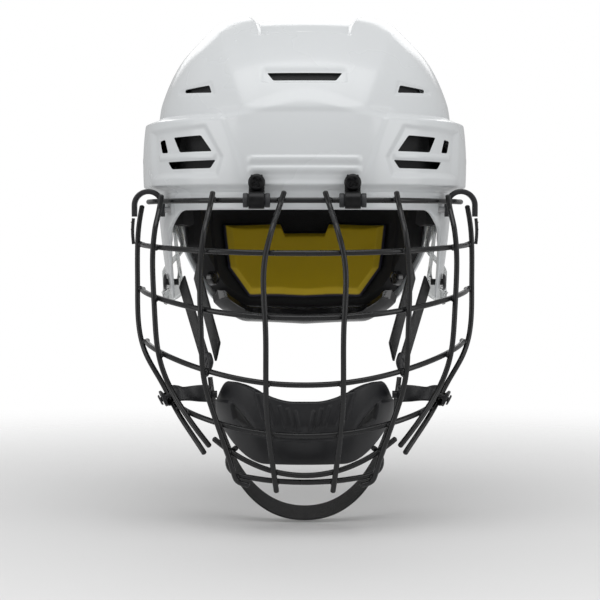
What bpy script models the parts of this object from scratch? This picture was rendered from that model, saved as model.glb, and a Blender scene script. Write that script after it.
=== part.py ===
"""Hockey helmet with a hinged wire cage, modelled as its separate pieces.

Metres, +Z up, the face looks along -Y, X is the viewer's right.
The origin is the middle of the crown pad's flat underside, where the helmet rests on a head.
"""
import bpy
import bmesh
import numpy as np
from math import cos, pi, radians, sin
from mathutils import Matrix, Vector

# ---------------------------------------------------------------- driving dimensions (metres)
GAP = 0.0003                 # clearance between pieces that touch on the real helmet
SOFT_GAP = 0.0014            # clearance between curved soft layers, more than their facets bow

# helmet outline: (height, half width, front, back) from the nape up to the crown
MIDDLE_Y = 0.010             # the outlines are centred on this y
HELMET_STATIONS = (
    (-0.208, 0.085, -0.112, 0.106),
    (-0.192, 0.090, -0.116, 0.116),
    (-0.165, 0.097, -0.122, 0.130),
    (-0.135, 0.102, -0.126, 0.139),
    (-0.105, 0.105, -0.1280, 0.143),
    (-0.075, 0.1065, -0.1290, 0.143),
    (-0.045, 0.1045, -0.1250, 0.141),
    (-0.020, 0.098, -0.1140, 0.133),
    (0.000, 0.088, -0.0960, 0.119),
    (0.014, 0.076, -0.0760, 0.103),
    (0.0230, 0.0670, -0.0610, 0.088),
    (0.0280, 0.0600, -0.0490, 0.077),
    (0.0310, 0.0500, -0.0350, 0.062),
    (0.0326, 0.0340, -0.0170, 0.041),
    (0.0332, 0.0000, 0.0100, 0.0100),
)
OUTLINE_POWER = 2.35         # superellipse power of the outline seen from above
SHELL_WALL = 0.0028
BAND_TOP = -0.044            # the raised lower band, from this height ...
BAND_ARCH = 0.014            # ... and this much higher at the middle of the forehead
BAND_BOTTOM = -0.090         # down to the recessed rim where the cage sits
BAND_FRONT = 0.003
BAND_SIDE = 0.0095
CHANNEL_DEPTH = 0.0045       # the sunk channel along the crown
CHANNEL_HALF = 0.036
CHANNEL_FRONT = -0.072
CHANNEL_BACK = 0.080
# shell edge height round the helmet: (degrees from the front, height)
EDGE = ((0, -0.106), (42, -0.106), (53, -0.120), (60, -0.160), (65, -0.168), (72, -0.168),
        (79, -0.148), (86, -0.126), (94, -0.121), (106, -0.123), (116, -0.132), (126, -0.152),
        (136, -0.174), (150, -0.187), (180, -0.190))
SEAM_Y = 0.030               # rear edge of the front shell
REAR_SHELL_GAP = 0.0022      # play between the two sliding shells
OVERLAP = 0.028              # how far the rear shell reaches under the front shell
CROWN_OVERLAP = 0.0015       # and how little in the crown channel, where its front edge is notched
SIZE_TRAVEL = 0.012          # travel of the size adjustment

LINER = 0.0125               # foam liner
PAD = 0.0065                 # comfort pads
SIDE_FOAM_LOW = -0.118       # side foam: lower edge at the temple, lower edge over the ear, top
SIDE_FOAM_EAR = -0.098
SIDE_FOAM_TOP = -0.020
REAR_FOAM_LOW = -0.1880      # rear foam and pad reach down to here
REAR_FOAM_CLEAR = 0.0030     # and stay this far above the shell's edge
REAR_PAD_CLEAR = 0.0050
REAR_PAD_TOP = -0.1165
NAPE_TRIM_HEIGHT = 0.0085

EAR_FLARE = 0.016            # how far the ear guards spread outwards below the shell

# cage
WIRE = 0.0036                # wire diameter
LAYER = WIRE + GAP           # distance between the upright and the cross wires
HINGE_Y = -0.1372            # the top wire runs through the clips here
HINGE_Z = -0.1000
TOP_STRAIGHT = 0.044         # half length of the straight run of the top wire
CAGE_CORNER = (0.1076, -0.060)
# cage surface: (height, half width, y at the sides, y at the middle)
CAGE_STATIONS = (
    (-0.100, 0.1076, -0.060, -0.1390),
    (-0.116, 0.1108, -0.056, -0.1560),
    (-0.135, 0.1122, -0.053, -0.1650),
    (-0.160, 0.1122, -0.053, -0.1695),
    (-0.185, 0.1112, -0.056, -0.1700),
    (-0.205, 0.1050, -0.065, -0.1680),
    (-0.220, 0.0945, -0.082, -0.1645),
    (-0.240, 0.0815, -0.102, -0.1570),
    (-0.263, 0.0640, -0.122, -0.1470),
    (-0.290, 0.0480, -0.130, -0.1370),
)
# cross wires: height at the sides, height at the middle, how far round the sides they reach
CROSS_WIRES = ((-0.1295, -0.1340, 1.0), (-0.1605, -0.1750, 1.0), (-0.1960, -0.2180, 1.0),
               (-0.2375, -0.2520, 1.0))
# upright wires: (height, half spacing)
INNER_UPRIGHT = ((-0.0980, 0.0134), (-0.1160, 0.0192), (-0.1335, 0.0238), (-0.1800, 0.0240),
                 (-0.2276, 0.0237), (-0.2505, 0.0223), (-0.2880, 0.0182))
OUTER_UPRIGHT = ((-0.0980, 0.0588), (-0.1160, 0.0618), (-0.1335, 0.0643), (-0.1900, 0.0642),
                 (-0.2128, 0.0630), (-0.2400, 0.0560), (-0.2608, 0.0494), (-0.2790, 0.0443))
SIDE_UPRIGHT = ((-0.0985, 0.0925), (-0.1180, 0.0955), (-0.1328, 0.0972), (-0.1700, 0.0962),
                (-0.1865, 0.0952), (-0.2030, 0.0930), (-0.2200, 0.0870), (-0.2330, 0.0795),
                (-0.2590, 0.0600))
EDGE_WIRE_END = -0.2640
CAGE_SQUARE = 0.60           # how much squarer the cage's outline gets towards the top wire
# chin wires: height at their ends, height at the middle, half width
CHIN_WIRES = ((-0.2560, -0.2790, 0.0590), (-0.2800, -0.2836, 0.0400))

# looped clips over the top wire
CLIP_X = 0.0313
CLIP_WIDTH = 0.0104
CLIP_STRIP = 0.0012
SLEEVE_LENGTH = 0.0176
SLEEVE_RADIUS = 0.0042
SLEEVE_FLANGE = 0.0047
SCREW_HEAD_RADIUS = 0.0056
CLIP_SCREW_Z = HINGE_Z + SLEEVE_RADIUS + CLIP_STRIP + SCREW_HEAD_RADIUS + 0.0007   # head clear of the wrap
CLIP_TAB_TOP = CLIP_SCREW_Z + 0.0051
SCREW_HEAD_HEIGHT = 0.0026
SCREW_RADIUS = 0.0022
NUT_RADIUS = 0.0038
NUT_THICKNESS = 0.0013
NUT_SET = 0.0015             # a flat nut stands this far off the curved wall

# side hooks over the cage corners
HOOK_Y = -0.0675
HOOK_DEPTH = 0.010
HOOK_STRAP_END = -0.1290
HOOK_STRIP = 0.0036
HOOK_INNER_X = 0.0977
HOOK_OUTER_X = 0.1168
HOOK_ARCH_Z = -0.0930
HOOK_END_Z = -0.1110
HOOK_SCREW_Z = -0.1055

# chin cup
CUP_HALF_WIDTH = 0.0605
CUP_FRONT = -0.1400
CUP_BACK = -0.0960
CUP_WALL = 0.0040
CUP_PAD = 0.0085
PIN_Y = -0.1070
PIN_Z = -0.2290
PIN_RADIUS = 0.0025
ARM_HEIGHT = 0.0115
ARM_STRIP = 0.0022
ARM_BUTTON_SHARE = 0.94      # where the arm's button sits round the side of the cage
BUTTON_RADIUS = 0.0037
BUTTON_SHANK = 0.0017

# chin strap webbing
STRAP_WIDTH = 0.0150
STRAP_THICK = 0.0018
STRAP_INSET = 0.0068         # straps lie this far inside the shell's inner face
ANCHOR_Y = -0.0310
ANCHOR_Z = -0.1560
REAR_STRAP_Y = 0.0400
SLIDER = (0.0672, -0.0680, -0.2120)
SLIDER_LENGTH = 0.0110

# size screws between the shells
SIZE_SCREW_Y = 0.0215
SIZE_SCREW_Z = -0.0700
SIZE_HEAD_RADIUS = 0.0050


# ---------------------------------------------------------------- scene and materials
for old in list(bpy.data.objects):
    bpy.data.objects.remove(old, do_unlink=True)


def make_material(name, colour, roughness, metallic=0.0):
    """A Principled material of one colour."""
    material = bpy.data.materials.new(name)
    material.use_nodes = True
    shader = material.node_tree.nodes["Principled BSDF"]
    shader.inputs["Base Color"].default_value = (*colour, 1.0)
    shader.inputs["Roughness"].default_value = roughness
    shader.inputs["Metallic"].default_value = metallic
    return material


SHELL_WHITE = make_material("shell_white", (0.78, 0.80, 0.81), 0.3)
WIRE_BLACK = make_material("wire_black", (0.03, 0.031, 0.034), 0.35)
STEEL_BLACK = make_material("steel_black", (0.02, 0.02, 0.022), 0.3, 1.0)
STEEL = make_material("plain_steel", (0.55, 0.55, 0.56), 0.35, 1.0)
RUBBER = make_material("grey_rubber", (0.05, 0.05, 0.055), 0.6)
PLASTIC = make_material("black_plastic", (0.018, 0.018, 0.02), 0.4)
FOAM = make_material("liner_foam", (0.012, 0.012, 0.013), 0.9)
PAD_FABRIC = make_material("pad_fabric", (0.015, 0.015, 0.016), 0.95)
YELLOW = make_material("rear_pad_yellow", (0.34, 0.24, 0.01), 0.6)
CLEAR = make_material("clear_guard", (0.8, 0.82, 0.82), 0.08)
WEBBING = make_material("strap_webbing", (0.012, 0.012, 0.013), 0.9)


# ---------------------------------------------------------------- curve and mesh helpers
def spline(rows, at):
    """Natural cubic through rows of (key, value, ...), read at the keys in at; keys in any order."""
    rows = np.array(sorted(rows), float)
    keys, values = rows[:, 0], rows[:, 1:]
    step = np.diff(keys)
    count = len(keys)
    system = np.eye(count)
    right = np.zeros((count, values.shape[1]))
    for i in range(1, count - 1):
        system[i, i - 1:i + 2] = step[i - 1], 2 * (step[i - 1] + step[i]), step[i]
        right[i] = 3 * ((values[i + 1] - values[i]) / step[i] - (values[i] - values[i - 1]) / step[i - 1])
    bend = np.linalg.solve(system, right)
    at = np.asarray(at, float)
    i = np.clip(np.searchsorted(keys, at) - 1, 0, count - 2)
    t = (at - keys[i])[..., None]
    h = step[i][..., None]
    slope = (values[i + 1] - values[i]) / h - h * (2 * bend[i] + bend[i + 1]) / 3
    return values[i] + slope * t + bend[i] * t**2 + (bend[i + 1] - bend[i]) / (3 * h) * t**3


def smooth_path(points, count):
    """Evenly spaced points on a smooth curve through the given ones."""
    points = np.array(points, float)
    length = np.concatenate([[0], np.cumsum(np.linalg.norm(np.diff(points, axis=0), axis=1))])
    rows = np.column_stack([length, points])
    fine = spline(rows.tolist(), np.linspace(0, length[-1], 12 * count))
    run = np.concatenate([[0], np.cumsum(np.linalg.norm(np.diff(fine, axis=0), axis=1))])
    even = np.linspace(0, run[-1], count)
    return np.column_stack([np.interp(even, run, fine[:, i]) for i in range(3)])


def ease(value, start, end):
    """0 before start, 1 after end, smooth between; start may be the larger."""
    t = np.clip((value - start) / (end - start), 0, 1)
    return t * t * (3 - 2 * t)


def add_object(name, mesh_data, material, parent=None):
    """Link a mesh or curve as one named object, shaded smooth with sharp corners kept."""
    obj = bpy.data.objects.new(name, mesh_data)
    bpy.context.scene.collection.objects.link(obj)
    mesh_data.materials.append(material)
    if parent is not None:
        obj.parent = parent
        obj.matrix_parent_inverse = Matrix.Translation(-parent.location)
    return obj


def solid(name, points, faces, material, parent=None):
    """A mesh object from points and faces, with its faces turned outwards."""
    mesh = bpy.data.meshes.new(name)
    mesh.from_pydata([tuple(p) for p in points], [], faces)
    work = bmesh.new()
    work.from_mesh(mesh)
    bmesh.ops.remove_doubles(work, verts=work.verts, dist=1e-6)
    bmesh.ops.recalc_face_normals(work, faces=work.faces)
    if work.calc_volume(signed=True) < 0:
        bmesh.ops.reverse_faces(work, faces=work.faces)
    work.to_mesh(mesh)
    work.free()
    mesh.shade_smooth()
    mesh.set_sharp_from_angle(angle=radians(35))
    return add_object(name, mesh, material, parent)


def grid_faces(rows, columns, start=0, wrap=False):
    """Quads over a rows x columns grid of points; wrap joins the last column to the first."""
    faces = []
    for i in range(rows - 1):
        for j in range(columns if wrap else columns - 1):
            k = (j + 1) % columns
            faces.append((start + i * columns + j, start + i * columns + k,
                          start + (i + 1) * columns + k, start + (i + 1) * columns + j))
    return faces


def surface_normals(surface, u, v):
    """Unit normals of a surface function by central differences."""
    small = 1e-4
    along_u = surface(u + small, v) - surface(u - small, v)
    along_v = surface(u, v + small) - surface(u, v - small)
    normal = np.cross(along_u, along_v)
    return normal / np.maximum(np.linalg.norm(normal, axis=-1, keepdims=True), 1e-12)


def plate(name, surface, u_values, v_values, near, far, material, parent=None, wrap=False):
    """A closed wall between two offsets of surface(u, v), over a grid of u and v."""
    u, v = np.meshgrid(u_values, v_values)
    base = surface(u, v)
    normal = surface_normals(surface, u, v)
    rows, columns = u.shape
    size = rows * columns
    points = np.concatenate([(base + near * normal).reshape(-1, 3), (base + far * normal).reshape(-1, 3)])
    faces = grid_faces(rows, columns, 0, wrap)
    faces += [tuple(reversed(f)) for f in grid_faces(rows, columns, size, wrap)]
    first, last = np.arange(columns), np.arange(columns) + (rows - 1) * columns
    rims = [(first, wrap), (last, wrap)]
    if not wrap:
        rims += [(np.arange(rows) * columns, False), (np.arange(rows) * columns + columns - 1, False)]
    for rim, closed in rims:
        for a, b in zip(rim, np.roll(rim, -1) if closed else rim[1:]):
            faces.append((a, b, b + size, a + size))
    return solid(name, points, faces, material, parent)


def ribbon(name, path, across, width, thickness, material, parent=None):
    """A flat strip along a path: width along across, thickness square to it."""
    path = np.array(path, float)
    across = np.broadcast_to(np.array(across, float), path.shape)
    ahead = np.gradient(path, axis=0)
    ahead /= np.linalg.norm(ahead, axis=1, keepdims=True)
    across = across - (across * ahead).sum(1, keepdims=True) * ahead
    across = across / np.linalg.norm(across, axis=1, keepdims=True)
    through = np.cross(ahead, across)
    corners = [(-0.5, -0.5), (0.5, -0.5), (0.5, 0.5), (-0.5, 0.5)]
    rings = [path + a * width * across + b * thickness * through for a, b in corners]
    points = np.stack(rings, axis=1).reshape(-1, 3)
    last = 4 * (len(path) - 1)
    faces = grid_faces(len(path), 4, 0, True) + [(0, 1, 2, 3), (last, last + 1, last + 2, last + 3)]
    return solid(name, points, faces, material, parent)


def turned(name, profile, centre, axis, sides, material, parent=None):
    """A profile of (radius, height) turned round an axis through centre; radius 0 closes an end."""
    turn = Vector((0, 0, 1)).rotation_difference(Vector(axis)).to_matrix()
    points, rings = [], []
    for radius, height in profile:
        if radius == 0:
            rings.append([len(points)])
            points.append(turn @ Vector((0, 0, height)) + Vector(centre))
            continue
        rings.append(list(range(len(points), len(points) + sides)))
        for k in range(sides):
            angle = 2 * pi * k / sides
            spot = Vector((radius * cos(angle), radius * sin(angle), height))
            points.append(turn @ spot + Vector(centre))
    faces = []
    pairs = list(zip(rings, rings[1:]))
    if profile[0][0] > 0:
        pairs.append((rings[-1], rings[0]))
    for low, high in pairs:
        for k in range(sides):
            m = (k + 1) % sides
            if len(low) == 1:
                faces.append((low[0], high[m], high[k]))
            elif len(high) == 1:
                faces.append((low[k], low[m], high[0]))
            else:
                faces.append((low[k], low[m], high[m], high[k]))
    return solid(name, points, faces, material, parent)


def block(name, low, high, material, parent=None):
    """A plain box between two corners."""
    corners = [(x, y, z) for z in (low[2], high[2]) for y in (low[1], high[1]) for x in (low[0], high[0])]
    faces = [(0, 2, 3, 1), (4, 5, 7, 6), (0, 1, 5, 4), (2, 6, 7, 3), (0, 4, 6, 2), (1, 3, 7, 5)]
    return solid(name, corners, faces, material, parent)


def cut(target, cutters, operation="DIFFERENCE"):
    """Exact Boolean of each cutter on the target; the cutters stay hidden."""
    for cutter in cutters:
        modifier = target.modifiers.new(cutter.name, "BOOLEAN")
        modifier.operation = operation
        modifier.solver = "EXACT"
        modifier.object = cutter
        cutter.hide_render = True
        cutter.display_type = "WIRE"


def rod(name, start, end, radius, sides=10):
    """A round cutter between two points."""
    start, end = Vector(start), Vector(end)
    length = (end - start).length
    profile = [(0, 0), (radius, 0), (radius, length), (0, length)]
    return turned(name, profile, start, (end - start).normalized(), sides, PLASTIC)


def wire(name, points, parent, diameter=WIRE):
    """A round wire along a path, as a bevelled poly curve with filled caps."""
    curve = bpy.data.curves.new(name, "CURVE")
    curve.dimensions = "3D"
    curve.bevel_depth = diameter / 2
    curve.bevel_resolution = 1
    curve.use_fill_caps = True
    line = curve.splines.new("POLY")
    line.points.add(len(points) - 1)
    for spot, point in zip(line.points, points):
        spot.co = (*point, 1.0)
    line.use_smooth = True
    return add_object(name, curve, WIRE_BLACK, parent)


def pivot(name, place):
    """An empty on a joint's axis that carries the moving pieces."""
    empty = bpy.data.objects.new(name, None)
    empty.location = place
    bpy.context.scene.collection.objects.link(empty)
    return empty


SIDES = (("left", -1), ("right", 1))


# ---------------------------------------------------------------- helmet surface
def station(height_index):
    """Height, half width, front and back of the outline at an index along HELMET_STATIONS."""
    rows = [(i, *row) for i, row in enumerate(HELMET_STATIONS)]
    values = spline(rows, height_index)
    return [values[..., i] for i in range(4)]


def plain_surface(angle, level):
    """Helmet form without relief: superellipse outlines stacked by level, angle 0 at the front."""
    height, half, front, back = station(level)
    ahead = np.cos(angle)
    depth = np.where(ahead > 0, MIDDLE_Y - front, back - MIDDLE_Y)
    safe_half, safe_depth = np.maximum(half, 1e-6), np.maximum(depth, 1e-6)
    reach = (np.abs(np.sin(angle)) / safe_half)**OUTLINE_POWER
    reach = (reach + (np.abs(ahead) / safe_depth)**OUTLINE_POWER)**(-1 / OUTLINE_POWER)
    return np.stack([reach * np.sin(angle), MIDDLE_Y - reach * ahead, height], axis=-1)


def shell_surface(angle, level):
    """Helmet form with the raised lower band and the sunk crown channel."""
    base = plain_surface(angle, level)
    x, y, z = base[..., 0], base[..., 1], base[..., 2]
    top = BAND_TOP + BAND_ARCH * ease(np.abs(x), 0.060, 0.0) * (y < 0)
    side = BAND_FRONT + (BAND_SIDE - BAND_FRONT) * ease(np.abs(x), 0.050, 0.095)
    band = side * ease(z, top + 0.004, top - 0.004) * ease(z, BAND_BOTTOM - 0.004, BAND_BOTTOM + 0.002)
    out = np.stack([np.sin(angle), -np.cos(angle), np.zeros_like(z)], axis=-1)
    sunk = CHANNEL_DEPTH * ease(np.abs(x), CHANNEL_HALF + 0.003, CHANNEL_HALF - 0.002)
    sunk = sunk * ease(y, CHANNEL_FRONT - 0.002, CHANNEL_FRONT + 0.004)
    sunk = sunk * ease(y, CHANNEL_BACK + 0.010, CHANNEL_BACK - 0.010) * (z > 0)
    down = np.stack([np.zeros_like(z), np.zeros_like(z), -np.ones_like(z)], axis=-1)
    return base + band[..., None] * out + sunk[..., None] * down


def level_at(height):
    """The level whose outline is at a height."""
    levels = np.linspace(0, len(HELMET_STATIONS) - 1, 1200)
    return np.interp(height, station(levels)[0], levels)


def edge_height(angle):
    """Height of the shells' lower edge at an angle from the front."""
    turn = np.degrees(np.abs((angle + pi) % (2 * pi) - pi))
    keys = np.array(EDGE, float)
    return np.interp(turn, keys[:, 0], keys[:, 1])


def dome(name, near, far, material):
    """Closed dome between two offsets of the shell surface, open below, with a shaped edge."""
    angles = np.linspace(0, 2 * pi, 61)[:-1]
    fixed = (-0.0985, -0.092, -0.0885, -0.075, -0.060, -0.049, -0.040, -0.030, -0.015, 0.0, 0.012,
             0.021, 0.0268, 0.0302, 0.0322)
    edge = level_at(edge_height(angles))
    first = level_at(fixed[0])
    rows = [edge + (first - edge) * share for share in (0.0, 0.3, 0.65)]
    rows += [np.full_like(angles, level_at(height)) for height in fixed]
    angle, level = np.broadcast_arrays(angles[None, :], np.array(rows))
    base = shell_surface(angle, level)
    normal = surface_normals(shell_surface, angle, level)
    layers, caps = [], []
    crown = shell_surface(np.zeros(1), np.array([len(HELMET_STATIONS) - 1.001]))[0]
    for offset in (near, far):
        layers.append((base + offset * normal).reshape(-1, 3))
        caps.append(crown + np.array([0, 0, offset]))
    count, size = len(angles), base.shape[0] * len(angles)
    points = np.concatenate([layers[0], layers[1], np.array(caps)])
    faces = grid_faces(len(rows), count, 0, True) + grid_faces(len(rows), count, size, True)
    for k in range(count):
        m = (k + 1) % count
        faces.append((k, m, size + m, size + k))
        for layer in (0, 1):
            ring = layer * size + (len(rows) - 1) * count
            faces.append((ring + k, ring + m, 2 * size + layer))
    return solid(name, points, faces, material)


def front_reach(x, height, near=0.0):
    """y of the plain helmet form's front at a given x and height, moved out by near."""
    height, half, front, _ = station(level_at(height))
    share = (1 - (abs(x) / half)**OUTLINE_POWER)**(1 / OUTLINE_POWER)
    return float(MIDDLE_Y - (MIDDLE_Y - front) * share - near)


def side_reach(y, height, near=0.0):
    """x of the plain helmet form's side at a given y and height, moved out by near."""
    height, half, front, back = station(level_at(height))
    depth = np.where(y < MIDDLE_Y, MIDDLE_Y - front, back - MIDDLE_Y)
    share = (1 - (np.abs(y - MIDDLE_Y) / depth)**OUTLINE_POWER)**(1 / OUTLINE_POWER)
    return half * share + near


# ---------------------------------------------------------------- shells
INNER_FACE = -SHELL_WALL                       # inner face of the front shell
REAR_OUTER = INNER_FACE - REAR_SHELL_GAP       # outer face of the rear shell
REAR_INNER = REAR_OUTER - SHELL_WALL
LINER_FACE = INNER_FACE - SOFT_GAP             # outer face of the root foam
REAR_LINER_FACE = REAR_INNER - SOFT_GAP        # outer face of the rear foam


def vent_cutters():
    """Cutters for the vents: a bar at the upper forehead, and a bar and a slot at each temple."""
    cutters = [block("cut_vent_front", (-0.0245, -0.130, -0.0205), (0.0245, -0.080, -0.0150), PLASTIC)]
    for side, sign in SIDES:
        for part, low, high in (("upper", -0.0665, -0.0570), ("lower", -0.0790, -0.0735)):
            inner, outer = sign * 0.062, sign * 0.088
            near, far = sorted((inner, outer))
            cutters.append(block(f"cut_vent_{part}_{side}", (near, -0.130, low), (far, -0.050, high), PLASTIC))
    return cutters


def build_shells(slider):
    front = dome("front_shell", 0.0, INNER_FACE, SHELL_WHITE)
    rear = dome("rear_shell", REAR_OUTER, REAR_INNER, SHELL_WHITE)
    rear.parent = slider
    rear.matrix_parent_inverse = Matrix.Translation(-slider.location)
    behind = block("cut_behind_seam", (-0.2, SEAM_Y, -0.3), (0.2, 0.3, 0.1), PLASTIC)
    ahead = block("cut_ahead_of_rear", (-0.2, -0.3, -0.3), (0.2, SEAM_Y - OVERLAP, 0.1), PLASTIC)
    notch = block("cut_crown_notch", (-CHANNEL_HALF, -0.2, 0.0), (CHANNEL_HALF, SEAM_Y - CROWN_OVERLAP, 0.1),
                  PLASTIC)
    holes, slots = [], []
    for side, sign in SIDES:
        x = sign * CLIP_X
        holes.append(rod(f"cut_clip_hole_{side}", (x, -0.15, CLIP_SCREW_Z), (x, -0.10, CLIP_SCREW_Z),
                         SCREW_RADIUS + GAP))
        holes.append(rod(f"cut_hook_hole_{side}", (sign * 0.08, HOOK_Y, HOOK_SCREW_Z),
                         (sign * 0.12, HOOK_Y, HOOK_SCREW_Z), SCREW_RADIUS + GAP))
        reach = SCREW_RADIUS + GAP
        holes.append(rod(f"cut_anchor_hole_{side}", (sign * 0.08, ANCHOR_Y, ANCHOR_Z),
                         (sign * 0.12, ANCHOR_Y, ANCHOR_Z), reach))
        holes.append(rod(f"cut_size_hole_{side}", (sign * 0.09, SIZE_SCREW_Y, SIZE_SCREW_Z),
                         (sign * 0.14, SIZE_SCREW_Y, SIZE_SCREW_Z), reach))
        low, high = sorted((sign * 0.09, sign * 0.14))
        slots.append(block(f"cut_size_slot_{side}",
                           (low, SIZE_SCREW_Y - SIZE_TRAVEL - reach - GAP, SIZE_SCREW_Z - reach),
                           (high, SIZE_SCREW_Y + reach + GAP, SIZE_SCREW_Z + reach), PLASTIC))
        face = float(side_reach(SIZE_SCREW_Y, SIZE_SCREW_Z, BAND_SIDE)) + 0.0006
        inner = SHELL_WALL * 2 + REAR_SHELL_GAP + 0.0018
        nut = SCREW_RADIUS * 1.9
        profile = [(0, -0.0016), (SIZE_HEAD_RADIUS * 0.8, -0.0016), (SIZE_HEAD_RADIUS, 0), (SCREW_RADIUS, 0),
                   (SCREW_RADIUS, inner), (nut, inner), (nut, inner + 0.0016), (0, inner + 0.0016)]
        turned(f"size_screw_{side}", profile, (sign * face, SIZE_SCREW_Y, SIZE_SCREW_Z), (-sign, 0, 0), 14,
               STEEL_BLACK)
    cut(front, [behind] + vent_cutters() + holes)
    cut(rear, [ahead, notch] + slots)


# ---------------------------------------------------------------- liner and pads
def liner_piece(name, turn, heights, near, far, material, parent=None, columns=9, rows=5):
    """A pad that follows the inside of the helmet between two angles and two heights."""
    angles = np.radians(np.linspace(*turn, columns))
    levels = np.linspace(level_at(heights[0]), level_at(heights[1]), rows)
    return plate(name, plain_surface, angles, levels, near, far, material, parent)


def side_foam(angle, share):
    """Side foam form: down to the shell's edge at the temple, cut away above the ear."""
    turn = np.degrees(np.abs(angle))
    bottom = SIDE_FOAM_LOW + (SIDE_FOAM_EAR - SIDE_FOAM_LOW) * ease(turn, 69.0, 75.0)
    return plain_surface(angle, level_at(bottom + (SIDE_FOAM_TOP - bottom) * share))


def above_edge(low, high, clear):
    """Surface between a height that follows the shell's edge, no lower than low, and a level height."""
    def surface(angle, share):
        bottom = np.maximum(edge_height(angle) + clear, low)
        return plain_surface(angle, level_at(bottom + (high - bottom) * share))
    return surface


def nape_form(angle, share):
    """Trim that follows the rear shell's edge."""
    return plain_surface(angle, level_at(edge_height(angle) + NAPE_TRIM_HEIGHT * (share - 1)))


def build_liner(slider):
    liner_piece("front_liner", (-46, 46), (-0.1065, -0.010), LINER_FACE, LINER_FACE - LINER, FOAM, columns=11)
    face = LINER_FACE - LINER - SOFT_GAP
    liner_piece("brow_pad", (-40, 40), (-0.1050, -0.072), face, face - PAD, PAD_FABRIC, columns=11, rows=4)
    for side, sign in SIDES:
        plate(f"side_liner_{side}", side_foam, sign * np.radians(np.linspace(49, 106, 14)), np.linspace(0, 1, 6),
              REAR_LINER_FACE, LINER_FACE - LINER, FOAM)
    rear_face = REAR_LINER_FACE - LINER
    rear_form = above_edge(REAR_FOAM_LOW, -0.020, REAR_FOAM_CLEAR)
    plate("rear_liner", rear_form, np.radians(np.linspace(118, 242, 17)), np.linspace(0, 1, 7),
          REAR_LINER_FACE, rear_face, FOAM, slider)
    pad_form = above_edge(REAR_FOAM_LOW, REAR_PAD_TOP, REAR_PAD_CLEAR)
    plate("rear_pad", pad_form, np.radians(np.linspace(137, 223, 11)), np.linspace(0, 1, 5),
          rear_face - SOFT_GAP, rear_face - SOFT_GAP - PAD, YELLOW, slider)
    plate("nape_trim", nape_form, np.radians(np.linspace(134, 226, 13)), np.linspace(0, 1, 3),
          REAR_INNER - GAP * 2, rear_face - GAP, PLASTIC, slider)
    crown_top = HELMET_STATIONS[-1][0] - CHANNEL_DEPTH + REAR_INNER - SOFT_GAP - 0.0012
    pad_top = PAD
    soft_slab("crown_pad", 0.0, pad_top, 0.042, 0.055, PAD_FABRIC)
    soft_slab("crown_liner", pad_top + GAP, crown_top, 0.031, 0.044, FOAM)


def soft_slab(name, bottom, top, half_x, half_y, material):
    """A slab with rounded plan corners and flat faces."""
    count, power = 24, 4
    angle = np.linspace(0, 2 * pi, count, endpoint=False)
    reach = (np.abs(np.cos(angle) / half_x)**power + np.abs(np.sin(angle) / half_y)**power)**(-1 / power)
    outline = np.column_stack([reach * np.cos(angle), reach * np.sin(angle)])
    points = [(x, y, bottom) for x, y in outline] + [(x, y, top) for x, y in outline]
    faces = [tuple(reversed(range(count))), tuple(range(count, 2 * count))]
    faces += [(k, (k + 1) % count, count + (k + 1) % count, count + k) for k in range(count)]
    return solid(name, points, faces, material)


def build_ear_guards():
    """Clear loops round the ears: a wall between an oval ear hole and an oval outer edge."""
    centre_y, centre_z = 0.014, -0.1380
    hole = (0.0255, 0.0265)
    rim = (0.0350, 0.0360)
    for side, sign in SIDES:
        def loop(turn, share, sign=sign):
            ry = hole[0] + (rim[0] - hole[0]) * share
            rz = hole[1] + (rim[1] - hole[1]) * share
            y = centre_y + ry * np.cos(turn)
            z = centre_z + rz * np.sin(turn)
            flare = EAR_FLARE * ease(z, -0.130, -0.152) * ease(y, -0.012, 0.008)
            x = side_reach(y, z, REAR_INNER - 0.0022 + flare)
            return np.stack([sign * x, y, z], axis=-1)
        plate(f"ear_guard_{side}", loop, np.linspace(0, 2 * pi, 29)[:-1], np.linspace(0, 1, 2),
              -0.0008, 0.0008, CLEAR, wrap=True)


# ---------------------------------------------------------------- cage fittings
def clip_path():
    """Strip in the YZ plane: down the rear leg, under the sleeve and round it, up the front leg."""
    radius = SLEEVE_RADIUS + GAP + CLIP_STRIP / 2
    rear_leg = front_reach(CLIP_X, CLIP_SCREW_Z, BAND_FRONT + GAP + 0.0012 + CLIP_STRIP / 2)
    front_leg = rear_leg - CLIP_STRIP - GAP
    turns = np.linspace(radians(188), radians(450), 16)
    arc = [(HINGE_Y - radius * cos(a), HINGE_Z + radius * sin(a)) for a in turns]
    down = [(rear_leg, CLIP_TAB_TOP), (rear_leg, HINGE_Z + 0.0020)]
    bend = HINGE_Z + radius
    back = [(front_leg - 0.0010, bend), (front_leg, bend + 0.0010), (front_leg, CLIP_TAB_TOP)]
    return down + arc + back, front_leg, rear_leg


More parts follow.
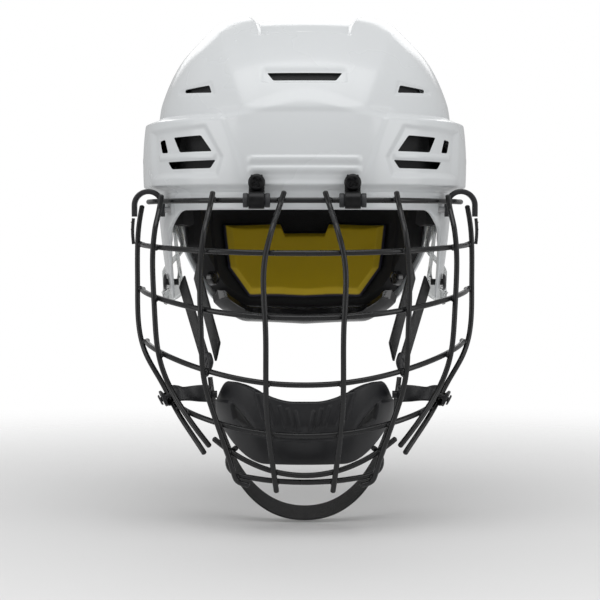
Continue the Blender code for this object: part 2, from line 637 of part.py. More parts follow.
def build_fittings():
    path, front_leg, rear_leg = clip_path()
    for side, sign in SIDES:
        x = sign * CLIP_X
        clip = ribbon(f"clip_{side}", [(x, y, z) for y, z in path], (1, 0, 0), CLIP_WIDTH, CLIP_STRIP,
                      STEEL_BLACK)
        cut(clip, [rod(f"cut_clip_{side}", (x, -0.16, CLIP_SCREW_Z), (x, -0.10, CLIP_SCREW_Z),
                       SCREW_RADIUS + GAP)])
        bore = WIRE / 2 + GAP
        half = SLEEVE_LENGTH / 2
        neck = CLIP_WIDTH / 2 + GAP
        profile = [(bore, -half), (SLEEVE_FLANGE, -half), (SLEEVE_FLANGE, -neck), (SLEEVE_RADIUS, -neck),
                   (SLEEVE_RADIUS, neck), (SLEEVE_FLANGE, neck), (SLEEVE_FLANGE, half), (bore, half)]
        turned(f"clip_sleeve_{side}", profile, (x, HINGE_Y, HINGE_Z), (1, 0, 0), 14, RUBBER)
        face = front_leg - CLIP_STRIP / 2 - GAP
        inside = front_reach(CLIP_X, CLIP_SCREW_Z, BAND_FRONT + INNER_FACE) + 0.0016
        tip = inside + NUT_THICKNESS + NUT_SET
        screw = [(0, -SCREW_HEAD_HEIGHT), (SCREW_HEAD_RADIUS * 0.7, -SCREW_HEAD_HEIGHT),
                 (SCREW_HEAD_RADIUS, -SCREW_HEAD_HEIGHT * 0.45), (SCREW_HEAD_RADIUS, 0),
                 (SCREW_RADIUS, 0), (SCREW_RADIUS, tip - face), (0, tip - face)]
        turned(f"clip_screw_{side}", screw, (x, face, CLIP_SCREW_Z), (0, 1, 0), 14, STEEL_BLACK)
        nut_face = inside + NUT_SET
        nut = [(SCREW_RADIUS + GAP, nut_face), (NUT_RADIUS, nut_face), (NUT_RADIUS, nut_face + NUT_THICKNESS),
               (SCREW_RADIUS + GAP, nut_face + NUT_THICKNESS)]
        turned(f"clip_nut_{side}", nut, (x, 0, CLIP_SCREW_Z), (0, 1, 0), 12, STEEL)


def build_hooks():
    """Inverted J hooks over the cage corners, screwed to the rim of the front shell."""
    middle = (HOOK_INNER_X + HOOK_OUTER_X) / 2
    radius = (HOOK_OUTER_X - HOOK_INNER_X) / 2
    bend = [(middle - radius * cos(a), HOOK_ARCH_Z - radius + radius * sin(a)) for a in
            np.linspace(0, pi, 9)]
    path = [(HOOK_INNER_X, HOOK_END_Z)] + bend + [(HOOK_OUTER_X, HOOK_END_Z)]
    for side, sign in SIDES:
        hook = ribbon(f"side_hook_{side}", [(sign * x, HOOK_Y, z) for x, z in path], (0, 1, 0),
                      HOOK_DEPTH, HOOK_STRIP, PLASTIC)
        cut(hook, [rod(f"cut_hook_{side}", (sign * 0.08, HOOK_Y, HOOK_SCREW_Z),
                       (sign * (HOOK_INNER_X + 0.003), HOOK_Y, HOOK_SCREW_Z), SCREW_RADIUS + GAP)])
        face = HOOK_INNER_X + HOOK_STRIP / 2 + GAP
        length = face - float(side_reach(HOOK_Y, HOOK_SCREW_Z, INNER_FACE - 0.0009))
        screw = [(0, -0.0012), (0.0026, -0.0012), (0.0032, -0.0004), (0.0032, 0),
                 (SCREW_RADIUS, 0), (SCREW_RADIUS, length), (0, length)]
        tab_low = (HOOK_OUTER_X - 0.0002, HOOK_Y - HOOK_DEPTH / 2 + 0.001, HOOK_STRAP_END)
        tab_high = (HOOK_OUTER_X + 0.0016, HOOK_Y + HOOK_DEPTH / 2 - 0.001, HOOK_END_Z - GAP)
        ends = sorted((sign * tab_low[0], sign * tab_high[0]))
        block(f"hook_strap_{side}", (ends[0], *tab_low[1:]), (ends[1], *tab_high[1:]), WEBBING)
        turned(f"hook_screw_{side}", screw, (sign * face, HOOK_Y, HOOK_SCREW_Z), (-sign, 0, 0), 12, STEEL)


# ---------------------------------------------------------------- cage wires
def cage_surface(share, height):
    """Cage form: at each height half an ellipse round the face, share -1 to 1 from side to side."""
    half, side_y, front_y = [spline(CAGE_STATIONS, height)[..., i] for i in range(3)]
    angle = share * pi / 2
    square = 1 + CAGE_SQUARE * ease(height, -0.152, -0.104) * (np.sin(angle) * np.cos(angle))**2
    ahead = (side_y - front_y) * np.cos(angle) * square
    return np.stack([half * np.sin(angle), side_y - ahead, height], axis=-1)


def cage_point(height, share, layer=0.0):
    """Points on the cage form, moved outwards by layer."""
    share, height = np.broadcast_arrays(np.asarray(share, float), np.asarray(height, float))
    return cage_surface(share, height) + layer * surface_normals(cage_surface, share, height)


def cage_slope(height, share):
    """Unit vector up the cage form at constant share."""
    rise = cage_point(height + 0.001, share) - cage_point(height - 0.001, share)
    return rise / np.linalg.norm(rise, axis=-1, keepdims=True)


def upright_path(rows, sign, count):
    """Upright wire through (height, x) rows, on the outer layer of the cage."""
    heights = np.linspace(rows[0][0], rows[-1][0], count)
    across = spline(rows, heights)[..., 0]
    half = spline(CAGE_STATIONS, heights)[..., 0]
    share = np.arcsin(np.clip(across / half, -1, 1)) * 2 / pi
    path = cage_point(heights, sign * share, LAYER)
    frame = top_wire_path()
    run = np.gradient(frame, axis=0)
    out = np.column_stack([run[:, 1], -run[:, 0]]) / np.linalg.norm(run[:, :2], axis=1)[:, None]
    over = frame[:, :2] + LAYER * out
    top_y = np.interp(sign * across, over[:, 0], over[:, 1])
    near_top = ease(heights, HINGE_Z - 0.020, HINGE_Z - 0.002)
    path[:, 1] = path[:, 1] * (1 - near_top) + top_y * near_top
    return path


def top_wire_path():
    """Top frame wire: straight through the clips, then back along the temples to the corners."""
    corner_x, corner_y = CAGE_CORNER
    half = [(TOP_STRAIGHT, HINGE_Y), (0.062, HINGE_Y + 0.0065), (0.080, -0.1150), (0.0960, -0.0920),
            (corner_x, corner_y)]
    bend = smooth_path([(TOP_STRAIGHT - 0.008, HINGE_Y, HINGE_Z)] + [(x, y, HINGE_Z) for x, y in half], 13)
    bend = bend[1:]
    mirrored = bend[::-1] * np.array([-1, 1, 1])
    return np.concatenate([mirrored, bend])


def build_cage(cage):
    wire("top_wire", top_wire_path(), cage)
    for number, (side_z, middle_z, reach) in enumerate(CROSS_WIRES, 1):
        share = np.linspace(-reach, reach, 25)
        height = middle_z + (side_z - middle_z) * np.abs(np.sin(share * pi / 2))**2.2
        wire(f"cross_wire_{number}", cage_point(height, share), cage)
    for number, (side_z, middle_z, half) in enumerate(CHIN_WIRES, 1):
        across = np.linspace(-half, half, 17)
        height = middle_z + (side_z - middle_z) * (np.abs(across) / half)**2.0
        width = spline(CAGE_STATIONS, height)[..., 0]
        wire(f"chin_wire_{number}", cage_point(height, np.arcsin(across / width) * 2 / pi), cage)
    for side, sign in SIDES:
        for name, rows, count in (("inner_upright", INNER_UPRIGHT, 16), ("outer_upright", OUTER_UPRIGHT, 17),
                                  ("side_upright", SIDE_UPRIGHT, 15)):
            wire(f"{name}_{side}", upright_path(rows, sign, count), cage)
        heights = np.linspace(-0.110, EDGE_WIRE_END, 17)
        edge = cage_point(heights, np.full(17, float(sign)), LAYER)
        top = cage_point(np.array([-0.1042]), np.array([float(sign)]), LAYER)
        wire(f"edge_wire_{side}", np.concatenate([top, edge]), cage)


# ---------------------------------------------------------------- chin cup
def cup_surface(across, up):
    """Chin cup: across -1 to 1 round the chin, up 0 at the bottom edge to 1 at the top edge."""
    turn = across * radians(82)
    x = CUP_HALF_WIDTH * np.sin(turn) / sin(radians(82))
    y = CUP_FRONT + (CUP_BACK - CUP_FRONT) * (1 - np.cos(turn)) / (1 - cos(radians(82)))
    top = -0.2310 + 0.0115 * ease(np.abs(across), 0.08, 0.62) - 0.012 * ease(np.abs(across), 0.72, 1.0)
    bottom = -0.2745 + 0.030 * ease(np.abs(across), 0.30, 1.05)
    tuck = 0.012 * (1 - up)**2
    return np.stack([x, y + tuck, bottom + (top - bottom) * up], axis=-1)


def build_chin(cage, chin):
    across, up = np.linspace(-1, 1, 19), np.linspace(0, 1, 6)
    cup = plate("chin_cup", cup_surface, across, up, 0.0, -CUP_WALL, PLASTIC, chin)
    pad_across = np.linspace(-0.93, 0.93, 17)
    plate("chin_pad", cup_surface, pad_across, np.linspace(0.08, 0.97, 5), -CUP_WALL - GAP,
          -CUP_WALL - GAP - CUP_PAD, PAD_FABRIC, chin)
    for side, sign in SIDES:
        pin = rod(f"cut_pin_{side}", (sign * (CUP_HALF_WIDTH - 0.006), PIN_Y, PIN_Z),
                  (sign * (CUP_HALF_WIDTH + 0.0045), PIN_Y, PIN_Z), PIN_RADIUS)
        cut(cup, [pin], "UNION")
        build_arm(side, sign, cage)


def arm_strip(sign):
    """Arm from the cup's pin to the edge wire: its path, and the direction of its width along it."""
    clear = WIRE / 2 + 0.0008 + ARM_STRIP / 2
    side_x = CUP_HALF_WIDTH + 0.0006 + ARM_STRIP / 2 + 0.0012
    plan = [(0.0, -0.0080), (0.0, 0.0025), (0.0022, 0.0065), (0.0075, 0.0078), (0.0145, 0.0058),
            (0.0200, 0.0048)]
    start = [(sign * (side_x + x), PIN_Y + y, PIN_Z) for x, y in plan]
    inner = cage_point(PIN_Z, sign * np.linspace(ARM_BUTTON_SHARE, 1.0, 3), LAYER - clear)
    approach = smooth_path(start + inner.tolist(), 17)
    centre = cage_point(PIN_Z, float(sign), LAYER)
    out = (centre - cage_point(PIN_Z, float(sign))) / LAYER
    back = np.cross(cage_slope(PIN_Z, float(sign)), out) * sign
    turns = np.linspace(0, pi, 7)[1:-1]
    bend = [centre + clear * (sin(a) * back - cos(a) * out) for a in turns]
    outer = cage_point(PIN_Z, sign * np.linspace(1.0, ARM_BUTTON_SHARE - 0.07, 5), LAYER + clear)
    path = np.concatenate([approach, bend, outer])
    turn = ease(np.arange(len(path)), 3, 12)[:, None]
    slope = (1 - turn) * np.array([0, 0, 1]) + turn * cage_slope(PIN_Z, float(sign))
    return path, slope, clear


def build_arm(side, sign, cage):
    path, slope, clear = arm_strip(sign)
    arm = ribbon(f"chin_arm_{side}", path, slope, ARM_HEIGHT, ARM_STRIP, PLASTIC, cage)
    pin_hole = rod(f"cut_arm_{side}", (sign * (CUP_HALF_WIDTH - 0.002), PIN_Y, PIN_Z),
                   (sign * (CUP_HALF_WIDTH + 0.007), PIN_Y, PIN_Z), PIN_RADIUS + GAP)
    middle = cage_point(PIN_Z, sign * ARM_BUTTON_SHARE, LAYER)
    out = cage_point(PIN_Z, sign * ARM_BUTTON_SHARE, LAYER + 0.001) - middle
    out /= np.linalg.norm(out)
    reach = clear + ARM_STRIP
    stud_hole = rod(f"cut_stud_{side}", middle - reach * out, middle + reach * out, BUTTON_SHANK + GAP)
    cut(arm, [pin_hole, stud_hole])
    face = clear + ARM_STRIP / 2 + GAP + 0.0002
    profile = [(0, -face), (BUTTON_SHANK, -face), (BUTTON_SHANK, face), (BUTTON_RADIUS, face),
               (BUTTON_RADIUS * 0.8, face + 0.0016), (0, face + 0.0019)]
    turned(f"arm_button_{side}", profile, middle, out, 12, PLASTIC, cage)


# ---------------------------------------------------------------- chin strap
def build_straps():
    """Two webbing straps on each side meet at a slider; the chin strap runs between the sliders."""
    for side, sign in SIDES:
        top_x = float(side_reach(ANCHOR_Y, ANCHOR_Z, INNER_FACE - STRAP_INSET))
        front_top = np.array([sign * top_x, ANCHOR_Y, ANCHOR_Z])
        slider = np.array([sign * SLIDER[0], SLIDER[1], SLIDER[2]])
        down = slider - front_top
        down /= np.linalg.norm(down)
        half = SLIDER_LENGTH / 2 + GAP
        knee = slider - half * down
        width = (sign * -0.26, -0.73, 0.63)
        ribbon(f"strap_front_{side}", smooth_path([front_top, (front_top + knee) / 2, knee], 7),
               width, STRAP_WIDTH, STRAP_THICK, WEBBING)
        rear_top = np.array([sign * (top_x - 0.006), REAR_STRAP_Y, ANCHOR_Z + 0.006])
        knee_rear = knee + np.array([sign * -0.0086, 0.005, 0.004])
        middle = (rear_top + knee_rear) / 2 + np.array([sign * -0.001, 0, -0.004])
        ribbon(f"strap_rear_{side}", smooth_path([rear_top, middle, knee_rear], 9), width,
               STRAP_WIDTH, STRAP_THICK, WEBBING)
        ends = [slider - (half - GAP) * down, slider, slider + (half - GAP) * down]
        ribbon(f"strap_slider_{side}", ends, width, STRAP_WIDTH + 0.005, STRAP_THICK + 0.0032, PLASTIC)
        face = float(side_reach(ANCHOR_Y, ANCHOR_Z, 0.0)) + 0.0016
        inner = face - (top_x + STRAP_THICK / 2 + 0.0016)
        profile = [(0, -0.0018), (0.0045, -0.0018), (0.0058, 0), (SCREW_RADIUS, 0), (SCREW_RADIUS, inner),
                   (0, inner)]
        turned(f"strap_anchor_{side}", profile, (sign * face, ANCHOR_Y, ANCHOR_Z), (-sign, 0, 0), 14, PLASTIC)
    low = [(SLIDER[0] - 0.0022, SLIDER[1] - 0.0022, SLIDER[2] - SLIDER_LENGTH / 2 - 0.0028)]
    low += [(0.0620, -0.0720, -0.2400), (0.0560, -0.0750, -0.2610), (0.0386, -0.0820, -0.2935),
            (0.0200, -0.0860, -0.3075), (0.0, -0.0870, -0.3115)]
    route = low + [(-x, y, z) for x, y, z in low[-2::-1]]
    ribbon("chin_strap", smooth_path(route, 33), (0, 0.86, 0.5), STRAP_WIDTH, STRAP_THICK, WEBBING)


# ---------------------------------------------------------------- assembly
size_slider = pivot("size_slide_axis", (0, SEAM_Y, 0))
cage_pivot = pivot("cage_hinge_axis", (0, HINGE_Y, HINGE_Z))
chin_pivot = pivot("chin_hinge_axis", (0, PIN_Y, PIN_Z))

build_shells(size_slider)
build_liner(size_slider)
build_ear_guards()
build_fittings()
build_hooks()
build_cage(cage_pivot)
build_chin(cage_pivot, chin_pivot)
build_straps()
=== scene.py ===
"""Hockey helmet with a hinged wire cage: the finished look of every piece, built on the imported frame.

Metres, +Z up, the face looks along -Y, X is the viewer's right. Shapes are numpy surfaces of two
parameters or profiles carried along paths, in the same place as the frame's solids.
"""
import bpy
import bmesh
import numpy as np
from math import cos, pi, radians, sin
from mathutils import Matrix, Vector


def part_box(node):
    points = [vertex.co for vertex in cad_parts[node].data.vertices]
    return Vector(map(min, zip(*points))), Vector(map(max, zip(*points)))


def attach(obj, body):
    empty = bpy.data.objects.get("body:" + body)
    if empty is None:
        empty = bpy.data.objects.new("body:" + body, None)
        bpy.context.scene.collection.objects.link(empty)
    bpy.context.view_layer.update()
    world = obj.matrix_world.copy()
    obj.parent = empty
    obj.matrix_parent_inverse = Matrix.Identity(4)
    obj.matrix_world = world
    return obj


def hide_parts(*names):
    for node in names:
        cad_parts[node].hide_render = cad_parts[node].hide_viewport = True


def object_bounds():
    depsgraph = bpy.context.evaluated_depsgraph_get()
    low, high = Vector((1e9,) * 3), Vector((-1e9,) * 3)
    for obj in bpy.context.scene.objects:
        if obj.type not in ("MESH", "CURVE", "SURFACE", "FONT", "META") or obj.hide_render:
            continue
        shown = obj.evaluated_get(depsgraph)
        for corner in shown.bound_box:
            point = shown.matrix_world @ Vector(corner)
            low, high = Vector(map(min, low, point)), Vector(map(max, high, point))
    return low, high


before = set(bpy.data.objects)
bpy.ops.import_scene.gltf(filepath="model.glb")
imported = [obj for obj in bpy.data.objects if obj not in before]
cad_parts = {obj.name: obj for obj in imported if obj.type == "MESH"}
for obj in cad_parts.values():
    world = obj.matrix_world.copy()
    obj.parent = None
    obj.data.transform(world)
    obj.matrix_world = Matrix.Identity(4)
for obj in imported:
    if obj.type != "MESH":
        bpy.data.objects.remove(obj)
cad_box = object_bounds()

SIDES = (("left", -1), ("right", 1))

# ---------------------------------------------------------------- sizes shared with the frame
MIDDLE_Y = 0.010
HELMET_STATIONS = (
    (-0.208, 0.085, -0.112, 0.106), (-0.192, 0.090, -0.116, 0.116), (-0.165, 0.097, -0.122, 0.130),
                   (-0.135, 0.102, -0.126, 0.139),
    (-0.105, 0.105, -0.1280, 0.143), (-0.075, 0.1065, -0.1290, 0.143), (-0.045, 0.1045, -0.1250, 0.141),
    (-0.020, 0.098, -0.1140, 0.133), (0.000, 0.088, -0.0960, 0.119), (0.014, 0.076, -0.0760, 0.103),
    (0.0230, 0.0670, -0.0610, 0.088), (0.0280, 0.0600, -0.0490, 0.077), (0.0310, 0.0500, -0.0350, 0.062),
    (0.0326, 0.0340, -0.0170, 0.041), (0.0332, 0.0000, 0.0100, 0.0100),
)
OUTLINE_POWER = 2.35
SHELL_WALL = 0.0028
BAND_TOP, BAND_ARCH, BAND_BOTTOM = -0.044, 0.014, -0.090
BAND_FRONT, BAND_SIDE = 0.003, 0.0095
CHANNEL_DEPTH, CHANNEL_HALF, CHANNEL_FRONT, CHANNEL_BACK = 0.0045, 0.036, -0.072, 0.080
EDGE = ((0, -0.106), (42, -0.106), (53, -0.120), (60, -0.160), (65, -0.168), (72, -0.168),
        (79, -0.148), (86, -0.126), (94, -0.121), (106, -0.123), (116, -0.132), (126, -0.152),
        (136, -0.174), (150, -0.187), (180, -0.190))
SEAM_Y, OVERLAP, CROWN_OVERLAP = 0.030, 0.028, 0.0015
LINER_FACE = -0.0042         # foam starts this far inside the shell form
REAR_OUTER, REAR_INNER = -0.0050, -0.0078
REAR_LINER_FACE = -0.0092
LINER, PAD, SOFT_GAP, GAP = 0.0125, 0.0065, 0.0014, 0.0003
REAR_FOAM_LOW, REAR_FOAM_CLEAR = -0.1880, 0.0030
REAR_PAD_CLEAR, REAR_PAD_TOP, NAPE_HEIGHT = 0.0050, -0.1165, 0.0085
WIRE = 0.0036
LAYER = WIRE + GAP
HINGE_Y, HINGE_Z, TOP_STRAIGHT = -0.1372, -0.1000, 0.044
CAGE_CORNER = (0.1076, -0.060)
CAGE_SQUARE = 0.60
CAGE_STATIONS = (
    (-0.100, 0.1076, -0.060, -0.1390), (-0.116, 0.1108, -0.056, -0.1560),
                 (-0.135, 0.1122, -0.053, -0.1650),
    (-0.160, 0.1122, -0.053, -0.1695), (-0.185, 0.1112, -0.056, -0.1700),
                 (-0.205, 0.1050, -0.065, -0.1680),
    (-0.220, 0.0945, -0.082, -0.1645), (-0.240, 0.0815, -0.102, -0.1570),
                 (-0.263, 0.0640, -0.122, -0.1470),
    (-0.290, 0.0480, -0.130, -0.1370),
)
CROSS_WIRES = ((-0.1295, -0.1340), (-0.1605, -0.1750), (-0.1960, -0.2180), (-0.2375, -0.2520))
INNER_UPRIGHT = ((-0.0980, 0.0134), (-0.1160, 0.0192), (-0.1335, 0.0238), (-0.1800, 0.0240),
                 (-0.2276, 0.0237), (-0.2505, 0.0223), (-0.2880, 0.0182))
OUTER_UPRIGHT = ((-0.0980, 0.0588), (-0.1160, 0.0618), (-0.1335, 0.0643), (-0.1900, 0.0642),
                 (-0.2128, 0.0630), (-0.2400, 0.0560), (-0.2608, 0.0494), (-0.2790, 0.0443))
SIDE_UPRIGHT = ((-0.0985, 0.0925), (-0.1180, 0.0955), (-0.1328, 0.0972), (-0.1700, 0.0962),
                (-0.1865, 0.0952), (-0.2030, 0.0930), (-0.2200, 0.0870), (-0.2330, 0.0795),
                (-0.2590, 0.0600))
EDGE_WIRE_END = -0.2640
CHIN_BEND = (-0.2560, -0.2790, 0.0590)
CLIP_X, CLIP_WIDTH, CLIP_STRIP = 0.0313, 0.0104, 0.0012
SLEEVE_LENGTH, SLEEVE_RADIUS, SLEEVE_FLANGE = 0.0176, 0.0042, 0.0047
CLIP_SCREW_Z, CLIP_TAB_TOP = -0.0883, -0.0832
SCREW_HEAD_RADIUS, SCREW_HEAD_HEIGHT, SCREW_RADIUS = 0.0056, 0.0026, 0.0022
HOOK_Y, HOOK_DEPTH, HOOK_STRAP_END, HOOK_STRIP = -0.0675, 0.010, -0.1290, 0.0036
HOOK_INNER_X, HOOK_OUTER_X, HOOK_ARCH_Z, HOOK_END_Z = 0.0977, 0.1168, -0.0930, -0.1110
HOOK_SCREW_Z = -0.1055
CUP_HALF_WIDTH, CUP_FRONT, CUP_BACK, CUP_WALL, CUP_PAD = 0.0605, -0.1400, -0.0960, 0.0040, 0.0085
PIN_Y, PIN_Z, PIN_RADIUS = -0.1070, -0.2290, 0.0025
ARM_HEIGHT, ARM_STRIP, ARM_BUTTON_SHARE = 0.0115, 0.0022, 0.94
BUTTON_RADIUS, BUTTON_SHANK = 0.0037, 0.0017
STRAP_WIDTH, STRAP_THICK, STRAP_INSET = 0.0150, 0.0018, 0.0068
ANCHOR_Y, ANCHOR_Z, REAR_STRAP_Y = -0.0310, -0.1560, 0.0400
SLIDER, SLIDER_LENGTH = (0.0672, -0.0680, -0.2120), 0.0110
SIZE_SCREW_Y, SIZE_SCREW_Z, SIZE_HEAD_RADIUS = 0.0215, -0.0700, 0.0050

# ---------------------------------------------------------------- camera and floor
CAMERA_PLACE, CAMERA_AIM = (0, -1.370, -0.118), (0, 0, -0.17)
LENS, SENSOR, SHIFT = 113.76, 36.0, -0.0078
FLOOR_DROP, FLOOR_HALF = 0.0012, 7
FADE_START, FADE_END = 0.30, 0.85
WORLD_LIGHT, WORLD_SEEN = 0.42, 1.0

# ---------------------------------------------------------------- relief of the front shell (x, z)
CENTRE_VENT = ((-0.0250, -0.0152), (0.0250, -0.0152), (0.0208, -0.0205), (-0.0208, -0.0205))
WEDGE_VENT = ((0.0812, -0.0240), (0.0640, -0.0222), (0.0622, -0.0276), (0.0812, -0.0264))
BIG_VENT = ((0.0880, -0.0572), (0.0690, -0.0564), (0.0614, -0.0672), (0.0836, -0.0674))
SLOT_VENT = ((0.0922, -0.0736), (0.0588, -0.0730), (0.0624, -0.0784), (0.0892, -0.0786))
SMALL_VENT = ((0.0984, -0.0592), (0.0946, -0.0582), (0.0922, -0.0674), (0.0966, -0.0674))
TEMPLE_HOLLOW = ((0.1050, -0.0530), (0.0665, -0.0500), (0.0548, -0.0710), (0.0585, -0.0830),
                 (0.1030, -0.0830))
FOREHEAD_PANEL = ((-0.0560, -0.0400), (0.0560, -0.0400), (0.0385, -0.0880), (-0.0385, -0.0880))
PANEL_CREASE = ((0.0580, 0.0150), (0.0515, -0.0092), (0.0460, -0.0256), (0.0425, -0.0360))
FLANK_CREASE = ((0.0580, 0.0150), (0.0790, -0.0083), (0.0970, -0.0330))


# ---------------------------------------------------------------- curves and forms
def ease(value, start, end):
    """Smooth step 3t^2 - 2t^3 with t from 0 at start to 1 at end; start may be the larger."""
    t = np.clip((value - start) / (end - start), 0, 1)
    return t * t * (3 - 2 * t)


def unit(vectors):
    """Vectors divided by their own length."""
    return vectors / np.maximum(np.linalg.norm(vectors, axis=-1, keepdims=True), 1e-12)


def spline(rows, at):
    """Natural cubic through rows of (key, value, ...): piecewise a + b t + c t^2 + d t^3."""
    rows = np.array(sorted(rows), float)
    keys, values = rows[:, 0], rows[:, 1:]
    step = np.diff(keys)
    count = len(keys)
    system = np.eye(count)
    right = np.zeros((count, values.shape[1]))
    for i in range(1, count - 1):
        system[i, i - 1:i + 2] = step[i - 1], 2 * (step[i - 1] + step[i]), step[i]
        right[i] = 3 * ((values[i + 1] - values[i]) / step[i] - (values[i] - values[i - 1])
                        / step[i - 1])
    bend = np.linalg.solve(system, right)
    at = np.asarray(at, float)
    i = np.clip(np.searchsorted(keys, at) - 1, 0, count - 2)
    t = (at - keys[i])[..., None]
    h = step[i][..., None]
    slope = (values[i + 1] - values[i]) / h - h * (2 * bend[i] + bend[i + 1]) / 3
    return values[i] + slope * t + bend[i] * t**2 + (bend[i + 1] - bend[i]) / (3 * h) * t**3


def smooth_path(points, count):
    """Evenly spaced points on the cubic through the given ones, keyed by chord length."""
    points = np.array(points, float)
    length = np.concatenate([[0], np.cumsum(np.linalg.norm(np.diff(points, axis=0), axis=1))])
    fine = spline(np.column_stack([length, points]).tolist(), np.linspace(0, length[-1], 12 * count))
    run = np.concatenate([[0], np.cumsum(np.linalg.norm(np.diff(fine, axis=0), axis=1))])
    even = np.linspace(0, run[-1], count)
    return np.column_stack([np.interp(even, run, fine[:, i]) for i in range(3)])


def station(level):
    """Height, half width, front and back of the helmet outline at a level."""
    values = spline([(i, *row) for i, row in enumerate(HELMET_STATIONS)], level)
    return [values[..., i] for i in range(4)]


def plain_surface(angle, level):
    """Superellipse |x/a|^p + |y/b|^p = 1 with a, b and height from the stations; angle 0 is the front."""
    height, half, front, back = station(level)
    ahead = np.cos(angle)
    depth = np.where(ahead > 0, MIDDLE_Y - front, back - MIDDLE_Y)
    reach = (np.abs(np.sin(angle)) / np.maximum(half, 1e-6))**OUTLINE_POWER
    reach = (reach + (np.abs(ahead) / np.maximum(depth, 1e-6))**OUTLINE_POWER)**(-1 / OUTLINE_POWER)
    return np.stack([reach * np.sin(angle), MIDDLE_Y - reach * ahead, height], axis=-1)


def shell_surface(angle, level):
    """Plain form moved out by the lower band's smooth step and down by the crown channel's."""
    base = plain_surface(angle, level)
    x, y, z = base[..., 0], base[..., 1], base[..., 2]
    top = BAND_TOP + BAND_ARCH * ease(np.abs(x), 0.060, 0.0) * (y < 0)
    soft = 0.0022 + 0.0030 * ease(np.abs(x), 0.060, 0.020)
    side = BAND_FRONT + (BAND_SIDE - BAND_FRONT) * ease(np.abs(x), 0.050, 0.095)
    band = side * ease(z, top + soft, top - soft) * ease(z, BAND_BOTTOM - 0.0035, BAND_BOTTOM + 0.0010)
    out = np.stack([np.sin(angle), -np.cos(angle), np.zeros_like(z)], axis=-1)
    narrow = 0.006 * ease(y, -0.020, -0.070)
    sunk = CHANNEL_DEPTH * ease(np.abs(x) + narrow, CHANNEL_HALF + 0.0030, CHANNEL_HALF - 0.0015)
    sunk = sunk * ease(y, CHANNEL_FRONT - 0.001, CHANNEL_FRONT + 0.003)
    sunk = sunk * ease(y, CHANNEL_BACK + 0.010, CHANNEL_BACK - 0.010) * (z > 0)
    down = np.stack([np.zeros_like(z), np.zeros_like(z), -np.ones_like(z)], axis=-1)
    return base + band[..., None] * out + sunk[..., None] * down


def level_at(height):
    """The level whose outline is at a height."""
    levels = np.linspace(0, len(HELMET_STATIONS) - 1, 2400)
    return np.interp(height, station(levels)[0], levels)


def edge_height(angle):
    """Height of the shells' lower edge at an angle from the front, corners rounded by a short mean."""
    keys = np.array(EDGE, float)
    turn = np.degrees(np.abs((angle + pi) % (2 * pi) - pi))
    spread = np.linspace(-2.5, 2.5, 9)
    return np.mean([np.interp(np.abs(turn + s), keys[:, 0], keys[:, 1]) for s in spread], axis=0)


def side_reach(y, height, near=0.0):
    """x of the plain helmet form's side at a given y and height, moved out by near."""
    height, half, front, back = station(level_at(height))
    depth = np.where(y < MIDDLE_Y, MIDDLE_Y - front, back - MIDDLE_Y)
    share = (1 - (np.abs(y - MIDDLE_Y) / depth)**OUTLINE_POWER)**(1 / OUTLINE_POWER)
    return half * share + near


def front_reach(x, height, near=0.0):
    """y of the plain helmet form's front at a given x and height, moved out by near."""
    height, half, front, _ = station(level_at(height))
    share = (1 - (abs(x) / half)**OUTLINE_POWER)**(1 / OUTLINE_POWER)
    return float(MIDDLE_Y - (MIDDLE_Y - front) * share - near)


def normals_of(surface, u, v, small=1e-4):
    """Unit normals of surface(u, v) from central differences."""
    along_u = surface(u + small, v) - surface(u - small, v)
    along_v = surface(u, v + small) - surface(u, v - small)
    return unit(np.cross(along_u, along_v))


def inside(x, z, corners, soft):
    """1 inside a convex outline and 0 outside, easing over soft across its edges."""
    corners = np.array(corners, float)
    nearest = np.full(np.shape(x), np.inf)
    middle = corners.mean(axis=0)
    for a, b in zip(corners, np.roll(corners, -1, axis=0)):
        side = np.array([-(b - a)[1], (b - a)[0]]) / np.linalg.norm(b - a)
        side = side * np.sign(np.dot(middle - a, side))
        nearest = np.minimum(nearest, (x - a[0]) * side[0] + (z - a[1]) * side[1])
    return ease(nearest, -soft / 2, soft / 2)


def line_distance(x, z, points):
    """Distance from (x, z) to the nearest point of an open line of straight runs."""
    points = np.array(points, float)
    nearest = np.full(np.shape(x), np.inf)
    for a, b in zip(points, points[1:]):
        t = np.clip(((x - a[0]) * (b - a)[0] + (z - a[1]) * (b - a)[1]) / np.dot(b - a, b - a), 0, 1)
        nearest = np.minimum(nearest, np.hypot(x - a[0] - t * (b - a)[0], z - a[1] - t * (b - a)[1]))
    return nearest


def crease(distance, height, width, rounding=0.0015):
    """A roof-shaped rise: height at the line, falling to 0 over width, with a rounded top."""
    fall = (np.sqrt(distance**2 + rounding**2) - rounding) / width
    return height * (1 - np.clip(fall, 0, 1))**1.5


